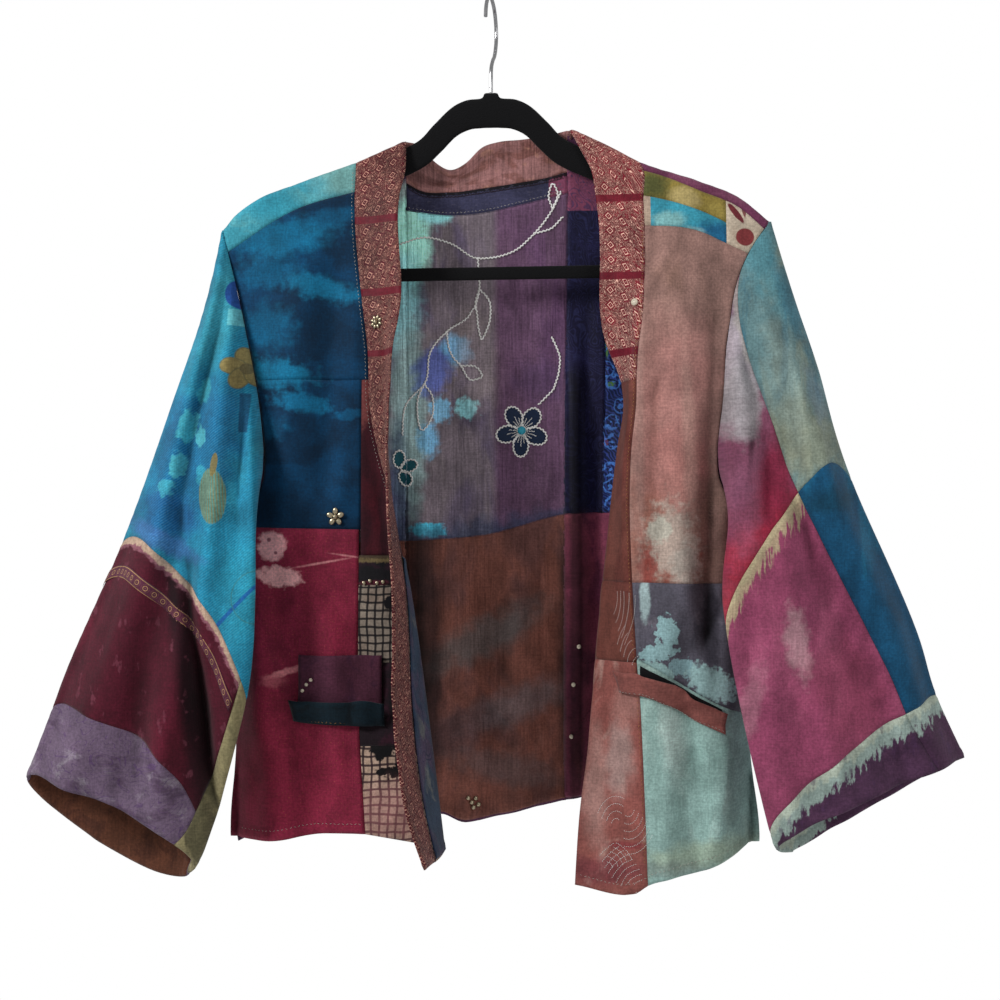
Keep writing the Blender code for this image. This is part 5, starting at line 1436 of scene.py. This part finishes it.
BACK_ROWS = [80, 72]
right_cols = [share_x(SIDE_R, BAND_R, k / 28) for k in range(28)]
right_cols += list(np.linspace(BAND_R, NECK_R, 13))
outer_r = net(right_cols, [None, LOW_LINE, HEM_B], BACK_ROWS, 5.6)
left_cols = list(np.linspace(NECK_L, LINE_L, 11)) + list(np.linspace(LINE_L, BAND_L, 9))[1:]
left_cols += [share_x(SIDE_L, BAND_L, 1 - k / 26) for k in range(1, 27)]
outer_l = net(left_cols, [None, LOW_LINE, HEM_B], BACK_ROWS, 5.6)
middle = net(list(np.linspace(NECK_R, NECK_L, 45)), [NECK, FACING_LOW, LOW_LINE, HEM_B],
             [7, 84, 72], 0)
INNER = (-WALL - 1.5, -WALL - 0.5)


def back_cloth(node, grid, r0, r1, c0, c1, look, slot, free, inner):
    low, high = INNER if inner else (-WALL, WALL)
    foot = 1.5 if inner and "F" in free else -0.3
    x, s = cut(grid, r0, r1, c0, c1, (-0.3, -0.3, -0.3 if r0 else 0.0, foot))
    shell(node, own_side(BACK(x, s), 1), flat_place(x, s), -1, low, high, look, free)


R_END, L_END, L_NAVY, L_LINING = len(right_cols) - 1, len(left_cols) - 1, 10, 28
R_SIDE = 28                 # column of the lining's edge under the right band
UNDER_BAND = 12             # row of the side linings' upper edge
(_, R_LOW, R_FOOT), (_, L_LOW, L_FOOT), (_, M_FACING, M_LOW, M_FOOT) = (
    outer_r[2], outer_l[2], middle[2])
BACK_PARTS = (
    ("back_outer_right", outer_r, 0, R_FOOT, 0, R_END, BACK_DYED, "plum", "F", False),
    ("back_outer_left", outer_l, 0, L_FOOT, 0, L_END, BACK_DYED, "plum", "F", False),
    ("back_outer_centre", middle, 0, M_FOOT, 0, 44, BACK_DYED, "plum", "F", False),
    ("lining_facing_strip", middle, 0, M_FACING, 0, 44, FACING_NAVY, "navy", "", True),
    ("lining_main", middle, M_FACING, M_LOW, 0, 44, LINING_MAIN, "mauve", "", True),
    ("lining_rust", middle, M_LOW, M_FOOT, 0, 44, LINING_RUST, "rust", "F", True),
    ("lining_main_side", outer_r, UNDER_BAND, R_LOW, R_SIDE, R_END, LINING_MAIN, "mauve", "T",
     True),
    ("lining_rust_side", outer_r, R_LOW, R_FOOT, R_SIDE, R_END, LINING_RUST, "rust", "F", True),
    ("lining_navy_side", outer_l, UNDER_BAND, L_LOW, 0, L_NAVY, NAVY_DAMASK, "navy", "T", True),
    ("lining_blue_side", outer_l, UNDER_BAND, L_LOW, L_NAVY, L_LINING, BLUE_LUREX, "blue", "TR",
     True),
    ("lining_plum_side", outer_l, L_LOW, L_FOOT, 0, L_LINING, PLUM_LINING, "plum", "RF", True))
for row in BACK_PARTS:
    back_cloth(*row)

cx, cv = np.meshgrid(np.linspace(-70.0, 65.0, 60), np.linspace(0, 1, 16))
collar_mid = collar(cx, cv)
collar_mid[..., 2] -= 1.6 * cv ** 4
ruffle = np.sin(cx / 2.6 + 3 * np.sin(cx / 11)) * np.exp(-(1 - cv) * 3.0)
collar_mid[..., 1] += 0.5 * ruffle
shell("collar_back", collar_mid, np.stack([cx, -110 - cv * 40], -1), -1, -WALL, WALL,
      COLLAR_CLOTH, "T", 0.4)

# The sleeves

# The left sleeve's long seam bulges towards the front: share of its length, way round
SPLIT_ENDS, SPLIT_BULGE, SPLIT_LEAN = 0.27, 0.145, 0.6
SPLIT = [(t, SPLIT_ENDS + SPLIT_BULGE * math.sin(math.pi * t ** SPLIT_LEAN))
         for t in np.linspace(0, 1, 13)]
SPLIT_BACK = [(t, w - G) for t, w in SPLIT]

RIGHT_FORE, RIGHT_REAR, LEFT_REAR = (G, 1 - G), (-1 + G, -G), (-1 + G, SPLIT_BACK)
for node, t0, t1, (w0, w1), look, slot, free in (
        ("sleeve_right_front_upper", 0, SEAM_R, RIGHT_FORE, TURQ_SLEEVE, "turquoise_print", ""),
        ("sleeve_right_back_upper", 0, SEAM_R, RIGHT_REAR, TURQ_SLEEVE, "teal_dye", ""),
        ("sleeve_right_front_lower", SEAM_R, CUFF_R, (G, OLIVE_W), MAROON_SLEEVE, "maroon", ""),
        ("sleeve_right_back_lower", SEAM_R, CUFF_R, RIGHT_REAR, MAROON_SLEEVE, "maroon", ""),
        ("sleeve_right_olive", SEAM_R, 1.0, (OLIVE_W + G, 1 - G), OLIVE_SLEEVE, "olive", "F"),
        ("cuff_right_front", CUFF_R, 1.0, (G, OLIVE_W), CUFF_PURPLE, "purple", "F"),
        ("cuff_right_back", CUFF_R, 1.0, RIGHT_REAR, CUFF_PURPLE, "purple", "F"),
        ("sleeve_left_front_upper", 0, SEAM_L, (SPLIT, 1 - G), RED_SLEEVE, "mauve", ""),
        ("sleeve_left_back_upper", 0, SEAM_L, LEFT_REAR, SEA_SLEEVE, "mint", ""),
        ("sleeve_left_front_lower", SEAM_L, CUFF_L, (SPLIT, 1 - G), PLUM_SLEEVE, "plum", ""),
        ("sleeve_left_back_lower", SEAM_L, CUFF_L, LEFT_REAR, NAVY_SLEEVE, "teal_dye", ""),
        ("cuff_left_front", CUFF_L, 1.0, (SPLIT, 1 - G), CUFF_DRIPPED, "purple", "F"),
        ("cuff_left_back", CUFF_L, 1.0, LEFT_REAR, CUFF_DRIPPED, "purple", "F")):
    sleeve_cloth(node, node.split("_")[1], t0, t1, w0, w1, look, free)
sleeve_cloth("cuff_right_facing", "right", CUFF_R, 1.0, -1 + G, -G, CUFF_BROWN, "TLRF",
             -WALL - 1.5, -WALL - 0.5, (0, 2))

# Threads, beads and stitches


def plain(name, code, rough=0.5, metallic=0.0, grain=0.0, sheen=0.0):
    """A plain finish with a fine uneven tone."""
    mat = bpy.data.materials.new(name)
    mat.use_nodes = True
    tree = mat.node_tree
    bsdf = tree.nodes["Principled BSDF"]
    bsdf.inputs["Roughness"].default_value = rough
    bsdf.inputs["Metallic"].default_value = metallic
    bsdf.inputs["Sheen Weight"].default_value = sheen
    bsdf.inputs["Specular IOR Level"].default_value = 0.25
    place = tree.nodes.new("ShaderNodeTexCoord")
    noise = tree.nodes.new("ShaderNodeTexNoise")
    noise.inputs["Scale"].default_value = 900.0
    ramp = tree.nodes.new("ShaderNodeValToRGB")
    tone = linear(code)
    ramp.color_ramp.elements[0].color = (*(c * 0.72 for c in tone[:3]), 1)
    ramp.color_ramp.elements[1].color = (*(min(1, c * 1.25) for c in tone[:3]), 1)
    ramp.color_ramp.elements[0].position = 0.3
    ramp.color_ramp.elements[1].position = 0.7
    tree.links.new(place.outputs["Object"], noise.inputs["Vector"])
    tree.links.new(noise.outputs[0], ramp.inputs[0])
    tree.links.new(ramp.outputs[0], bsdf.inputs["Base Color"])
    if grain:
        bump = tree.nodes.new("ShaderNodeBump")
        bump.inputs["Distance"].default_value = grain * MM
        tree.links.new(noise.outputs[0], bump.inputs["Height"])
        tree.links.new(bump.outputs[0], bsdf.inputs["Normal"])
    return mat


SILVER = plain("silver_thread", "f6f2ea", 0.4)
GOLD = plain("gold_thread", "b4834e", 0.4, 0.5)
PEARL = plain("pearl_bead", "d8cdb8", 0.25)
TURQ_BEAD = plain("turquoise_bead", "2f9cb4", 0.25)
WHITE_THREAD = plain("pale_thread", "b9b4aa", 0.7)
DARK_THREAD = plain("dark_thread", "2a1a1e", 0.8)
NAVY_SILK = plain("navy_silk", "10233f", 0.6)
TEAL_SILK = plain("teal_silk", "1f5a66", 0.6)


class Surface:
    """A cloth surface addressed by x and z of the flat cloth, with its outward side."""

    def __init__(self, call, way):
        self.call, self.way = call, way

    def point(self, a, b):
        return self.call(a, s_of(a, b))

    def frame(self, a, b):
        """Places on the surface and its unit normals there."""
        step = 0.4
        p = self.point(a, b)
        da = self.point(a + step, b) - self.point(a - step, b)
        db = self.point(a, b + step) - self.point(a, b - step)
        n = np.cross(db, da) * self.way
        return p, n / np.linalg.norm(n, axis=-1, keepdims=True)


ON_RIGHT = Surface(FRONT["right"], -1)
ON_LEFT = Surface(FRONT["left"], -1)
ON_LINING = Surface(BACK, -1)
LINING_FACE = WALL + 1.5


def smooth_path(points, step):
    """Even places along a smooth curve through the points."""
    p = np.array(points, float)
    d = np.concatenate([[0], np.cumsum(np.linalg.norm(np.diff(p, axis=0), axis=1))])
    if len(p) < 3:
        t = np.arange(0, d[-1], step)
        return np.stack([np.interp(t, d, p[:, k]) for k in (0, 1)], -1)
    fine = np.linspace(0, d[-1], max(40, 12 * len(p)))
    rows = [[(a, b) for a, b in zip(d, p[:, k])] for k in (0, 1)]
    curve = np.stack([follow(r, fine) for r in rows], -1)
    run = np.concatenate([[0], np.cumsum(np.linalg.norm(np.diff(curve, axis=0), axis=1))])
    t = np.arange(0, run[-1], step)
    return np.stack([np.interp(t, run, curve[:, k]) for k in (0, 1)], -1)


def ovals(name, places, axes, sizes, mat, rings=4, sides=6):
    """Small closed ovals: places, three unit axes each, three half sizes each."""
    verts, faces = [], []
    ball = [(0, 0, 1)]
    for j in range(1, rings):
        a = math.pi * j / rings
        ball += [(math.sin(a) * math.cos(2 * math.pi * k / sides),
                  math.sin(a) * math.sin(2 * math.pi * k / sides), math.cos(a))
                 for k in range(sides)]
    ball = np.array(ball + [(0, 0, -1)])
    last = len(ball) - 1
    tris = [[0, 1 + k, 1 + (k + 1) % sides] for k in range(sides)]
    for j in range(rings - 2):
        for k in range(sides):
            a, b = 1 + j * sides + k, 1 + j * sides + (k + 1) % sides
            tris.append([a, a + sides, b + sides, b])
    tris += [[last, 1 + (rings - 2) * sides + (k + 1) % sides, 1 + (rings - 2) * sides + k]
             for k in range(sides)]
    for p, unit, size in zip(places, axes, sizes):
        base = len(verts)
        m = np.stack([np.array(e) * s for e, s in zip(unit, size)])
        verts.extend((ball @ m + p).tolist())
        faces.extend([[base + i for i in f] for f in tris])
    return build(name, verts, faces, mat)


def beads_along(name, surface, paths, step, size, mat, lift, weave=0.0):
    """A couched cord: ovals in a row, each a little askew."""
    places, axes, sizes = [], [], []
    for path in paths:
        ab = smooth_path(path, step)
        if len(ab) < 2:
            continue
        p, n = surface.frame(ab[:, 0], ab[:, 1])
        t = np.gradient(p, axis=0)
        t /= np.linalg.norm(t, axis=-1, keepdims=True)
        side = np.cross(n, t)
        for k in range(len(ab)):
            sway = weave * (1 if k % 2 else -1)
            lean = t[k] * 0.9 + side[k] * (0.45 if k % 2 else -0.45)
            lean /= np.linalg.norm(lean)
            places.append(p[k] + n[k] * lift + side[k] * sway)
            axes.append((np.cross(lean, n[k]), n[k], lean))
            sizes.append(size)
    return ovals(name, places, axes, sizes, mat, 4, 5)


def stitches(name, surface, paths, pitch, length, mat, slot, lift, wide=0.16):
    return beads_along(name, surface, paths, pitch, (wide, wide, length / 2), mat, lift)


def oval_path(a, b, ra, rb, turn, first=0, last=360, count=14):
    out = []
    for k in range(count + 1):
        q = math.radians(first + (last - first) * k / count)
        u, v = ra * math.cos(q), rb * math.sin(q)
        c, s = math.cos(math.radians(turn)), math.sin(math.radians(turn))
        out.append((a + u * c - v * s, b + u * s + v * c))
    return out


def stand(n):
    """Two unit axes across a normal, the first one level."""
    side = np.cross(n, (0, 0, 1.0))
    side /= np.linalg.norm(side)
    return side, np.cross(side, n)


# The vine on the lining

STEM = [(-73, -192.1), (-53.4, -187.2), (-32.1, -192.1), (-10.8, -203.6), (12.1, -200.3),
        (35, -183.9), (49.8, -164.3), (56.3, -151.2)]
FORK = [(35, -183.9), (49.8, -179), (57.9, -170.8)]
LOWER = [(-10.8, -203.6), (-9.2, -228.1), (-19, -251), (-37, -262.5), (-50.1, -278.9),
         (-55, -305.1), (-69.7, -321.4), (-73, -347.6)]
TWIN = [(-37, -262.5), (-33.7, -278.9), (-23.9, -290.3)]
LEAVES = [[(-9.2, -228.1), (-1, -239.6), (-1.8, -256), (-8.4, -269), (-11.6, -254.3),
           (-12.4, -239.6), (-9.2, -228.1)],
          [(-55, -305.1), (-48.5, -316.5), (-49.3, -331.2), (-56.6, -342.7), (-59.9, -328),
           (-59.1, -316.5), (-55, -305.1)],
          [(-23.9, -290.3), (-14.1, -290.3), (-7.5, -298.5), (-15.7, -301.8), (-23.9, -290.3)],
          [(49.8, -164.3), (46.5, -154.5), (49.8, -144.6), (53.9, -152.8), (49.8, -164.3)]]
FLOWER_STEM = [(49.8, -267.4), (56.3, -285.4), (53, -305.1), (39.9, -321.4)]
FLOWER_AT, FLOWER_FIRST = (25.2, -342.7), 50
PETAL_REACH, PETAL_LONG, PETAL_WIDE = 12.6, 9.2, 6.8
TURNS = [FLOWER_FIRST + 72 * k for k in range(5)]
petal_lines = [oval_path(*spoke(FLOWER_AT, PETAL_REACH, a), PETAL_LONG, PETAL_WIDE, a)
               for a in TURNS]
hair_lines = [[spoke(FLOWER_AT, r, a + lean) for r in (4.2, 10.5 if lean else 13.0)]
              for a in TURNS for lean in (-16, 0, 16)]
HALF_FLOWER, HALF_REACH, HALF_TURNS = (-75.5, -375.4), 9, (-50, 20, 90)
half_lines = [oval_path(*spoke(HALF_FLOWER, HALF_REACH, a), 7, 5, a) for a in HALF_TURNS]
beads_along("vine_cord", ON_LINING, [STEM, FORK, LOWER, TWIN, FLOWER_STEM] + LEAVES
            + petal_lines + half_lines, 1.5, (0.78, 0.6, 1.15), SILVER,
            LINING_FACE + 0.45, 0.25)
beads_along("flower_hairs", ON_LINING, hair_lines, 1.2, (0.34, 0.3, 0.8), SILVER,
            LINING_FACE + 0.4)


def patch_on(name, centre, long, wide, turn, mat):
    """A thin oval of silk applied to the lining."""
    lift, thick, count = LINING_FACE + 0.02, 0.3, 26
    verts, faces = [], []
    for side in (1, 0):
        for r in (0.4, 0.75, 1.0):
            ab = np.array(oval_path(*centre, long * r, wide * r, turn, count=count)[:-1])
            p, n = ON_LINING.frame(ab[:, 0], ab[:, 1])
            fall = 0.55 if r == 1.0 else 1.0
            verts.extend((p + n * (lift + thick * side * fall)).tolist())
    half = 3 * count
    hub = []
    for side in (1, 0):
        p, n = ON_LINING.frame(np.array([centre[0]]), np.array([centre[1]]))
        hub.append(len(verts))
        verts.append((p[0] + n[0] * (lift + thick * side)).tolist())
    for side, base in ((0, 0), (1, half)):
        for k in range(count):
            m = (k + 1) % count
            fan = [[hub[side], base + k, base + m]]
            for j in range(2):
                q = base + j * count
                fan.append([q + k, q + count + k, q + count + m, q + m])
            faces.extend(fan if side == 0 else [f[::-1] for f in fan])
    for k in range(count):
        m = (k + 1) % count
        a, b = 2 * count + k, 2 * count + m
        faces.append([b, a, half + a, half + b])
    build(name, verts, faces, mat)


for k, a in enumerate(TURNS):
    patch_on("petal_%d" % k, spoke(FLOWER_AT, PETAL_REACH, a), PETAL_LONG - 0.4,
             PETAL_WIDE - 0.4, a, NAVY_SILK)
for k, a in enumerate(HALF_TURNS):
    patch_on("half_petal_%d" % k, spoke(HALF_FLOWER, HALF_REACH, a), 6.6, 4.6, a, TEAL_SILK)


def bead(name, surface, places, radius, mat, lift, squash=0.7):
    """Round beads sewn on at the given places."""
    ab = np.array(places, float)
    p, n = surface.frame(ab[:, 0], ab[:, 1])
    axes, spots = [], []
    for k in range(len(ab)):
        side, up = stand(n[k])
        axes.append((side, -up, n[k]))
        spots.append(p[k] + n[k] * (lift + radius * squash))
    return ovals(name, spots, axes, [(radius, radius, radius * squash)] * len(ab), mat, 7, 10)


bead("flower_bead", ON_LINING, [FLOWER_AT], 3.6, TURQ_BEAD, LINING_FACE)


# Beads and flowers on the fronts


def flower_of_metal(name, surface, at, reach, petal, count, core, lift):
    """A round of raised metal petals about a bead."""
    ab = np.array([at], float)
    p, n = surface.frame(ab[:, 0], ab[:, 1])
    p, n = p[0] + n[0] * lift, n[0]
    side, up = stand(n)
    places, axes, sizes = [], [], []
    for k in range(count):
        a = 2 * math.pi * k / count + 0.3
        out = side * math.cos(a) + up * math.sin(a)
        places.append(p + out * reach + n * petal[2])
        axes.append((out, np.cross(n, out), n))
        sizes.append(petal)
    places.append(p + n * core * 0.9)
    axes.append((side, up, n))
    sizes.append((core, core, core))
    return ovals(name, places, axes, sizes, BUTTON_METAL, 7, 10)


BUTTON_METAL = plain("worn_metal", "b9ad92", 0.32, 0.85, 0.1)
button = flower_of_metal("flower_button_metal", ON_RIGHT, (-120.5, -413.0), 4.4, (2.9, 2.2, 1.0),
                         5, 2.1, WALL + 0.3)
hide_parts("flower_button")
flower_of_metal("band_flower", ON_RIGHT, (-88.2, -260.9), 3.8, (1.9, 1.3, 0.9), 8, 1.9, WALL + 0.3)
bead("band_pearl", ON_LEFT, [(113.7, -245)], 3.0, PEARL, WALL, 0.5)
POCKET_BEADS = [(-144, -547.3), (-140.9, -542.7), (-137, -538.8)]
bead("pocket_beads", ON_RIGHT, POCKET_BEADS, 1.5, PEARL, WALL + 3.6)
SEQUINS = [(-93.6, -462.8), (-98.3, -464.4), (-88.2, -464.4), (-83.5, -463.6)]
bead("dark_sequins", ON_RIGHT, SEQUINS, 1.5, BUTTON_METAL, WALL, 0.35)
HEM_CLUSTER = [(-17.4, -650.4), (-13.3, -647.2), (-20.6, -646.4), (-15.7, -654.5), (-10.8, -652.1)]
bead("hem_beads", ON_LINING, HEM_CLUSTER, 2.0, BUTTON_METAL, LINING_FACE)
STAR = [(70.2, -519.5), (76, -534.2), (89, -531), (84.1, -549), (87.4, -567), (76, -576.8),
        (67.8, -593.2)]
bead("star_beads", ON_LINING, [STAR[0], STAR[2], STAR[4], STAR[6], (68.6, -550.6)], 1.9, PEARL,
     LINING_FACE)
stitches("star_stitches", ON_LINING, [STAR], 2.6, 1.9, DARK_THREAD, "plum", LINING_FACE + 0.1, 0.3)


# Stitched arcs in metal thread


def arcs(at, first, count, gap, start, end, squeeze=1.0):
    """Part circles round one point."""
    return [oval_path(*at, first + gap * k, (first + gap * k) * squeeze, 0, start + 3 * k,
                      end - 4 * k) for k in range(count)]


LOW_ARCS = (arcs((119.6, -704.7), 7, 10, 4.3, 96, 176) + arcs((89.4, -685.3), 5, 5, 4.0, 10, 84)
            + arcs((106.4, -637.3), 5, 6, 3.6, 250, 345, 1.6)
            + arcs((97.1, -652.8), 4, 4, 4.0, 60, 170, 1.4))
TOP_ARCS = (arcs((86.3, -476), 8, 5, 4.4, 300, 378, 1.9)
            + arcs((115.8, -530.3), 6, 5, 4.4, 110, 168, 1.6))
for name, paths in (("hem_arcs", LOW_ARCS), ("band_arcs", TOP_ARCS)):
    beads_along(name, ON_LEFT, paths, 1.5, (0.17, 0.17, 0.6), SILVER, WALL + 0.12)

# Seams and topstitching


def run_x(x0, x1, level, count=12):
    xs = np.linspace(x0, x1, count)
    return [(x, float(line(level, np.array([x]))[0])) for x in xs]


def run_z(place, z0, z1, shift, count=16):
    zs = np.linspace(z0, z1, count)
    return [(float(line(place, np.array([z]))[0]) + shift, z) for z in zs]


def lifted(table, by):
    return [(x, z + by) for x, z in table]


# Name, surface, path, pitch, length, thread, slot, lift, half width
for name, surface, path, *rest in (
        ("band_right_stitches", ON_RIGHT, run_z(seam_r, -140, -640, -2.2, 40), 3.0, 1.9,
         WHITE_THREAD, "teal_dye", WALL + 0.05),
        ("hem_right_stitches", ON_RIGHT, run_x(-196, -98, lifted(HEM_R, 8)), 3.2, 2.0,
         WHITE_THREAD, "maroon", WALL + 0.5),
        ("hem_left_stitches", ON_LEFT, run_x(70, 200, lifted(HEM_L, 8)), 3.2, 2.0,
         WHITE_THREAD, "mint", WALL + 0.5),
        ("band_left_stitches", ON_LEFT, run_z(seam_l, -150, -680, -2.0, 40), 3.0, 1.9, GOLD,
         "brocade", WALL + 0.05),
        ("facing_stitches", ON_LINING, run_x(-66, 58, lifted(FACING_LOW, 2.5)), 3.0, 1.9,
         WHITE_THREAD, "navy", LINING_FACE + 0.05),
        ("facing_overlock", ON_LINING, run_x(-66, 58, lifted(NECK, -3.5), 30), 1.4, 2.4,
         DARK_THREAD, "navy", LINING_FACE + 0.2, 0.35),
        ("welt_right_stitches", ON_RIGHT, [(-150, -570.5), (-115, -571.5), (-84, -573)], 2.8,
         1.8, GOLD, "teal_dye", WELT_R_HEIGHT + 1.0),
        ("welt_left_stitches", ON_LEFT, [(101, -549), (116, -550.5), (150, -566), (180, -580)],
         2.8, 1.8, WHITE_THREAD, "rust", WELT_L_HEIGHT + 1.3)):
    stitches(name, surface, [path], *rest)

# Scroll ribbon on the right sleeve

# The ribbon's start below the seam and its width, shares of the sleeve's length
RIBBON_AT, RIBBON_WIDE = 0.047, 0.0195


def scroll(dye):
    """A running row of rings between two rails."""
    u = dye.math("PINGPONG", dye.axis(dye.edge, 0), 4.2)
    v = dye.math("SUBTRACT", dye.axis(dye.edge, 1), 5.4)
    far = dye.math("SQRT", dye.math("ADD", dye.math("MULTIPLY", u, u), dye.math("MULTIPLY", v, v)))
    ring = dye.level(dye.math("PINGPONG", far, 0.9), 0.2, 0.45, (1, 0))
    high = dye.math("ABSOLUTE", v)
    rail = dye.math("MULTIPLY", dye.level(high, 3.7, 4.0), dye.level(high, 4.5, 4.8, (1, 0)))
    gold = dye.math("MAXIMUM", dye.math("MULTIPLY", ring, dye.level(far, 3.2, 3.5, (1, 0))), rail)
    dye.over(gold, "a9835c", 0.9)
    dye.lift(gold, 0.2)


SCROLL = dyed("scroll_ribbon", "54263a", more=scroll)
for name, low_w, high_w in (("ribbon_front", G + 0.01, OLIVE_W - 0.01),
                            ("ribbon_back", -0.99, -G - 0.01)):
    w, v = np.meshgrid(np.linspace(low_w, high_w, 60), np.linspace(0, 1, 5))
    t = follow(SEAM_R, w) + RIBBON_AT + RIBBON_WIDE * v
    mid = SLEEVE["right"](t, w)
    n = unit_normals(mid, 1)
    mid = mid + n * (WALL + 0.25)
    shell(name, mid, mid[..., [0, 2]], 1, -0.2, 0.2, SCROLL, "TFLR", 0, 0, False)

# The hanger

ROLL = math.tan(math.radians(1.0))      # the hanger leans a degree
# Outline of the frame: outer x z, inner x z, from the neck round to the bar's middle
FRAME = [(0, -74.4, 0, -102.4), (5, -74.8, 5, -102.4), (8, -78.6, 8, -102.6),
         (20, -80, 17, -103.6), (32, -86, 28, -109), (46, -99.4, 40, -121),
         (59, -112.4, 54, -133), (84, -123.5, 80, -145), (113, -133.1, 108, -155.5),
         (160, -149.6, 155, -172), (190, -163.1, 178, -183), (202, -174.6, 184, -189),
         (203.5, -185, 184, -193), (196, -199, 181, -201), (180, -215, 170, -210),
         (158, -223.4, 150, -213.4), (80, -224, 80, -213.6), (0, -224, 0, -213.6)]
HALF = 2.6                  # half thickness
full = np.array(FRAME + [(-a, b, -c, d) for a, b, c, d in reversed(FRAME[1:-1])], float)
PER_ROW = 6
count = len(full)
at = np.arange(count * PER_ROW) / PER_ROW
i0 = np.floor(at).astype(int)
f = (at - i0)[:, None]
p0, p1, p2, p3 = (full[(i0 + k) % count] for k in (-1, 0, 1, 2))
curve = 0.5 * (2 * p1 + (p2 - p0) * f + (2 * p0 - 5 * p1 + 4 * p2 - p3) * f ** 2
               + (3 * p1 - p0 - 3 * p2 + p3) * f ** 3)
curve[:, 1::2] += curve[:, ::2] * ROLL
SIDES = 16
verts, faces = [], []
for ox, oz, ix, iz in curve:
    o, i = np.array([ox, 0, oz]), np.array([ix, 0, iz])
    mid, reach = (o + i) / 2, (i - o) / 2
    for k in range(SIDES):
        a = 2 * math.pi * k / SIDES
        c, s = math.cos(a), math.sin(a)
        c, s = math.copysign(abs(c) ** 0.45, c), math.copysign(abs(s) ** 0.6, s)
        verts.append(mid + reach * c + np.array([0, HALF * s, 0]))
for r in range(len(curve)):
    for k in range(SIDES):
        q, m = (r + 1) % len(curve) * SIDES, (k + 1) % SIDES
        faces.append([r * SIDES + k, q + k, q + m, r * SIDES + m])
FLOCK = plain("flocked_black", "08080a", 1.0, grain=0.6, sheen=0.06)
hanger = build("hanger_flocked", verts, faces, FLOCK)
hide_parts("hanger_body")

HOOK = [(0, -73.9), (0, -62), (1.5, -54), (8, -46.5), (16, -40.5), (22, -31), (24, -22.5),
        (22.2, -13.5), (17, -5.5), (9.2, -0.4), (0, 1.5), (-9.2, -0.4), (-17, -5.5),
        (-22.2, -13.5), (-23.6, -20)]
WIRE = 1.5
turn = math.radians(80)
wire_data = bpy.data.curves.new("hook_wire", "CURVE")
wire_data.dimensions = "3D"
spline = wire_data.splines.new("BEZIER")
spline.bezier_points.add(len(HOOK) - 1)
for point, (u, z) in zip(spline.bezier_points, HOOK):
    point.co = (u * math.cos(turn) * MM, u * math.sin(turn) * MM, z * MM)
    point.handle_left_type = point.handle_right_type = "AUTO"
wire_data.bevel_depth = WIRE * MM
wire_data.bevel_resolution = 4
wire_data.use_fill_caps = True
wire_data.materials.append(plain("polished_wire", "b8b8ba", 0.18, 1.0))
hook = bpy.data.objects.new("hook_wire", wire_data)
bpy.context.scene.collection.objects.link(hook)
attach(hook, "root")
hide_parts("hanger_hook")


# Floor, light, world

FLOOR_Z, FLOOR_SIZE = -1.0, 1.2
bpy.ops.mesh.primitive_circle_add(vertices=96, radius=FLOOR_SIZE / 2, fill_type="NGON",
                                  location=(0, 0, FLOOR_Z))
floor = bpy.context.object
floor.name = "floor"
pale = bpy.data.materials.new("pale_floor")
pale.use_nodes = True
pale.node_tree.nodes["Principled BSDF"].inputs["Base Color"].default_value = (0.85, 0.85, 0.85, 1)
pale.node_tree.nodes["Principled BSDF"].inputs["Roughness"].default_value = 0.9
floor.data.materials.append(pale)

world = bpy.data.worlds.new("white")
world.use_nodes = True
world.node_tree.nodes["Background"].inputs["Color"].default_value = (1, 1, 1, 1)
world.node_tree.nodes["Background"].inputs["Strength"].default_value = WORLD_LIGHT
seen = world.node_tree.nodes.new("ShaderNodeBackground")
seen.inputs["Color"].default_value = (1, 1, 1, 1)
seen.inputs["Strength"].default_value = 1.0
ray = world.node_tree.nodes.new("ShaderNodeLightPath")
choose = world.node_tree.nodes.new("ShaderNodeMixShader")
join = world.node_tree.links.new
join(ray.outputs["Is Camera Ray"], choose.inputs[0])
join(world.node_tree.nodes["Background"].outputs[0], choose.inputs[1])
join(seen.outputs[0], choose.inputs[2])
join(choose.outputs[0], world.node_tree.nodes["World Output"].inputs["Surface"])
bpy.context.scene.world = world
bpy.context.scene.view_settings.view_transform = "Standard"


def lamp(name, place, aim, size, power):
    data = bpy.data.lights.new(name, "AREA")
    data.shape = "DISK"
    data.size = size
    data.energy = power
    obj = bpy.data.objects.new(name, data)
    obj.location = place
    way = np.array(aim) - np.array(place)
    obj.rotation_mode = "QUATERNION"
    obj.rotation_quaternion = Vector(way).to_track_quat("-Z", "Y")
    bpy.context.scene.collection.objects.link(obj)


lamp("key", (-1.35, -1.0, 0.45), (0, 0, -0.4), 0.5, KEY_POWER)
lamp("fill", (1.6, -1.4, 0.1), (0, 0, -0.4), 1.2, FILL_POWER)
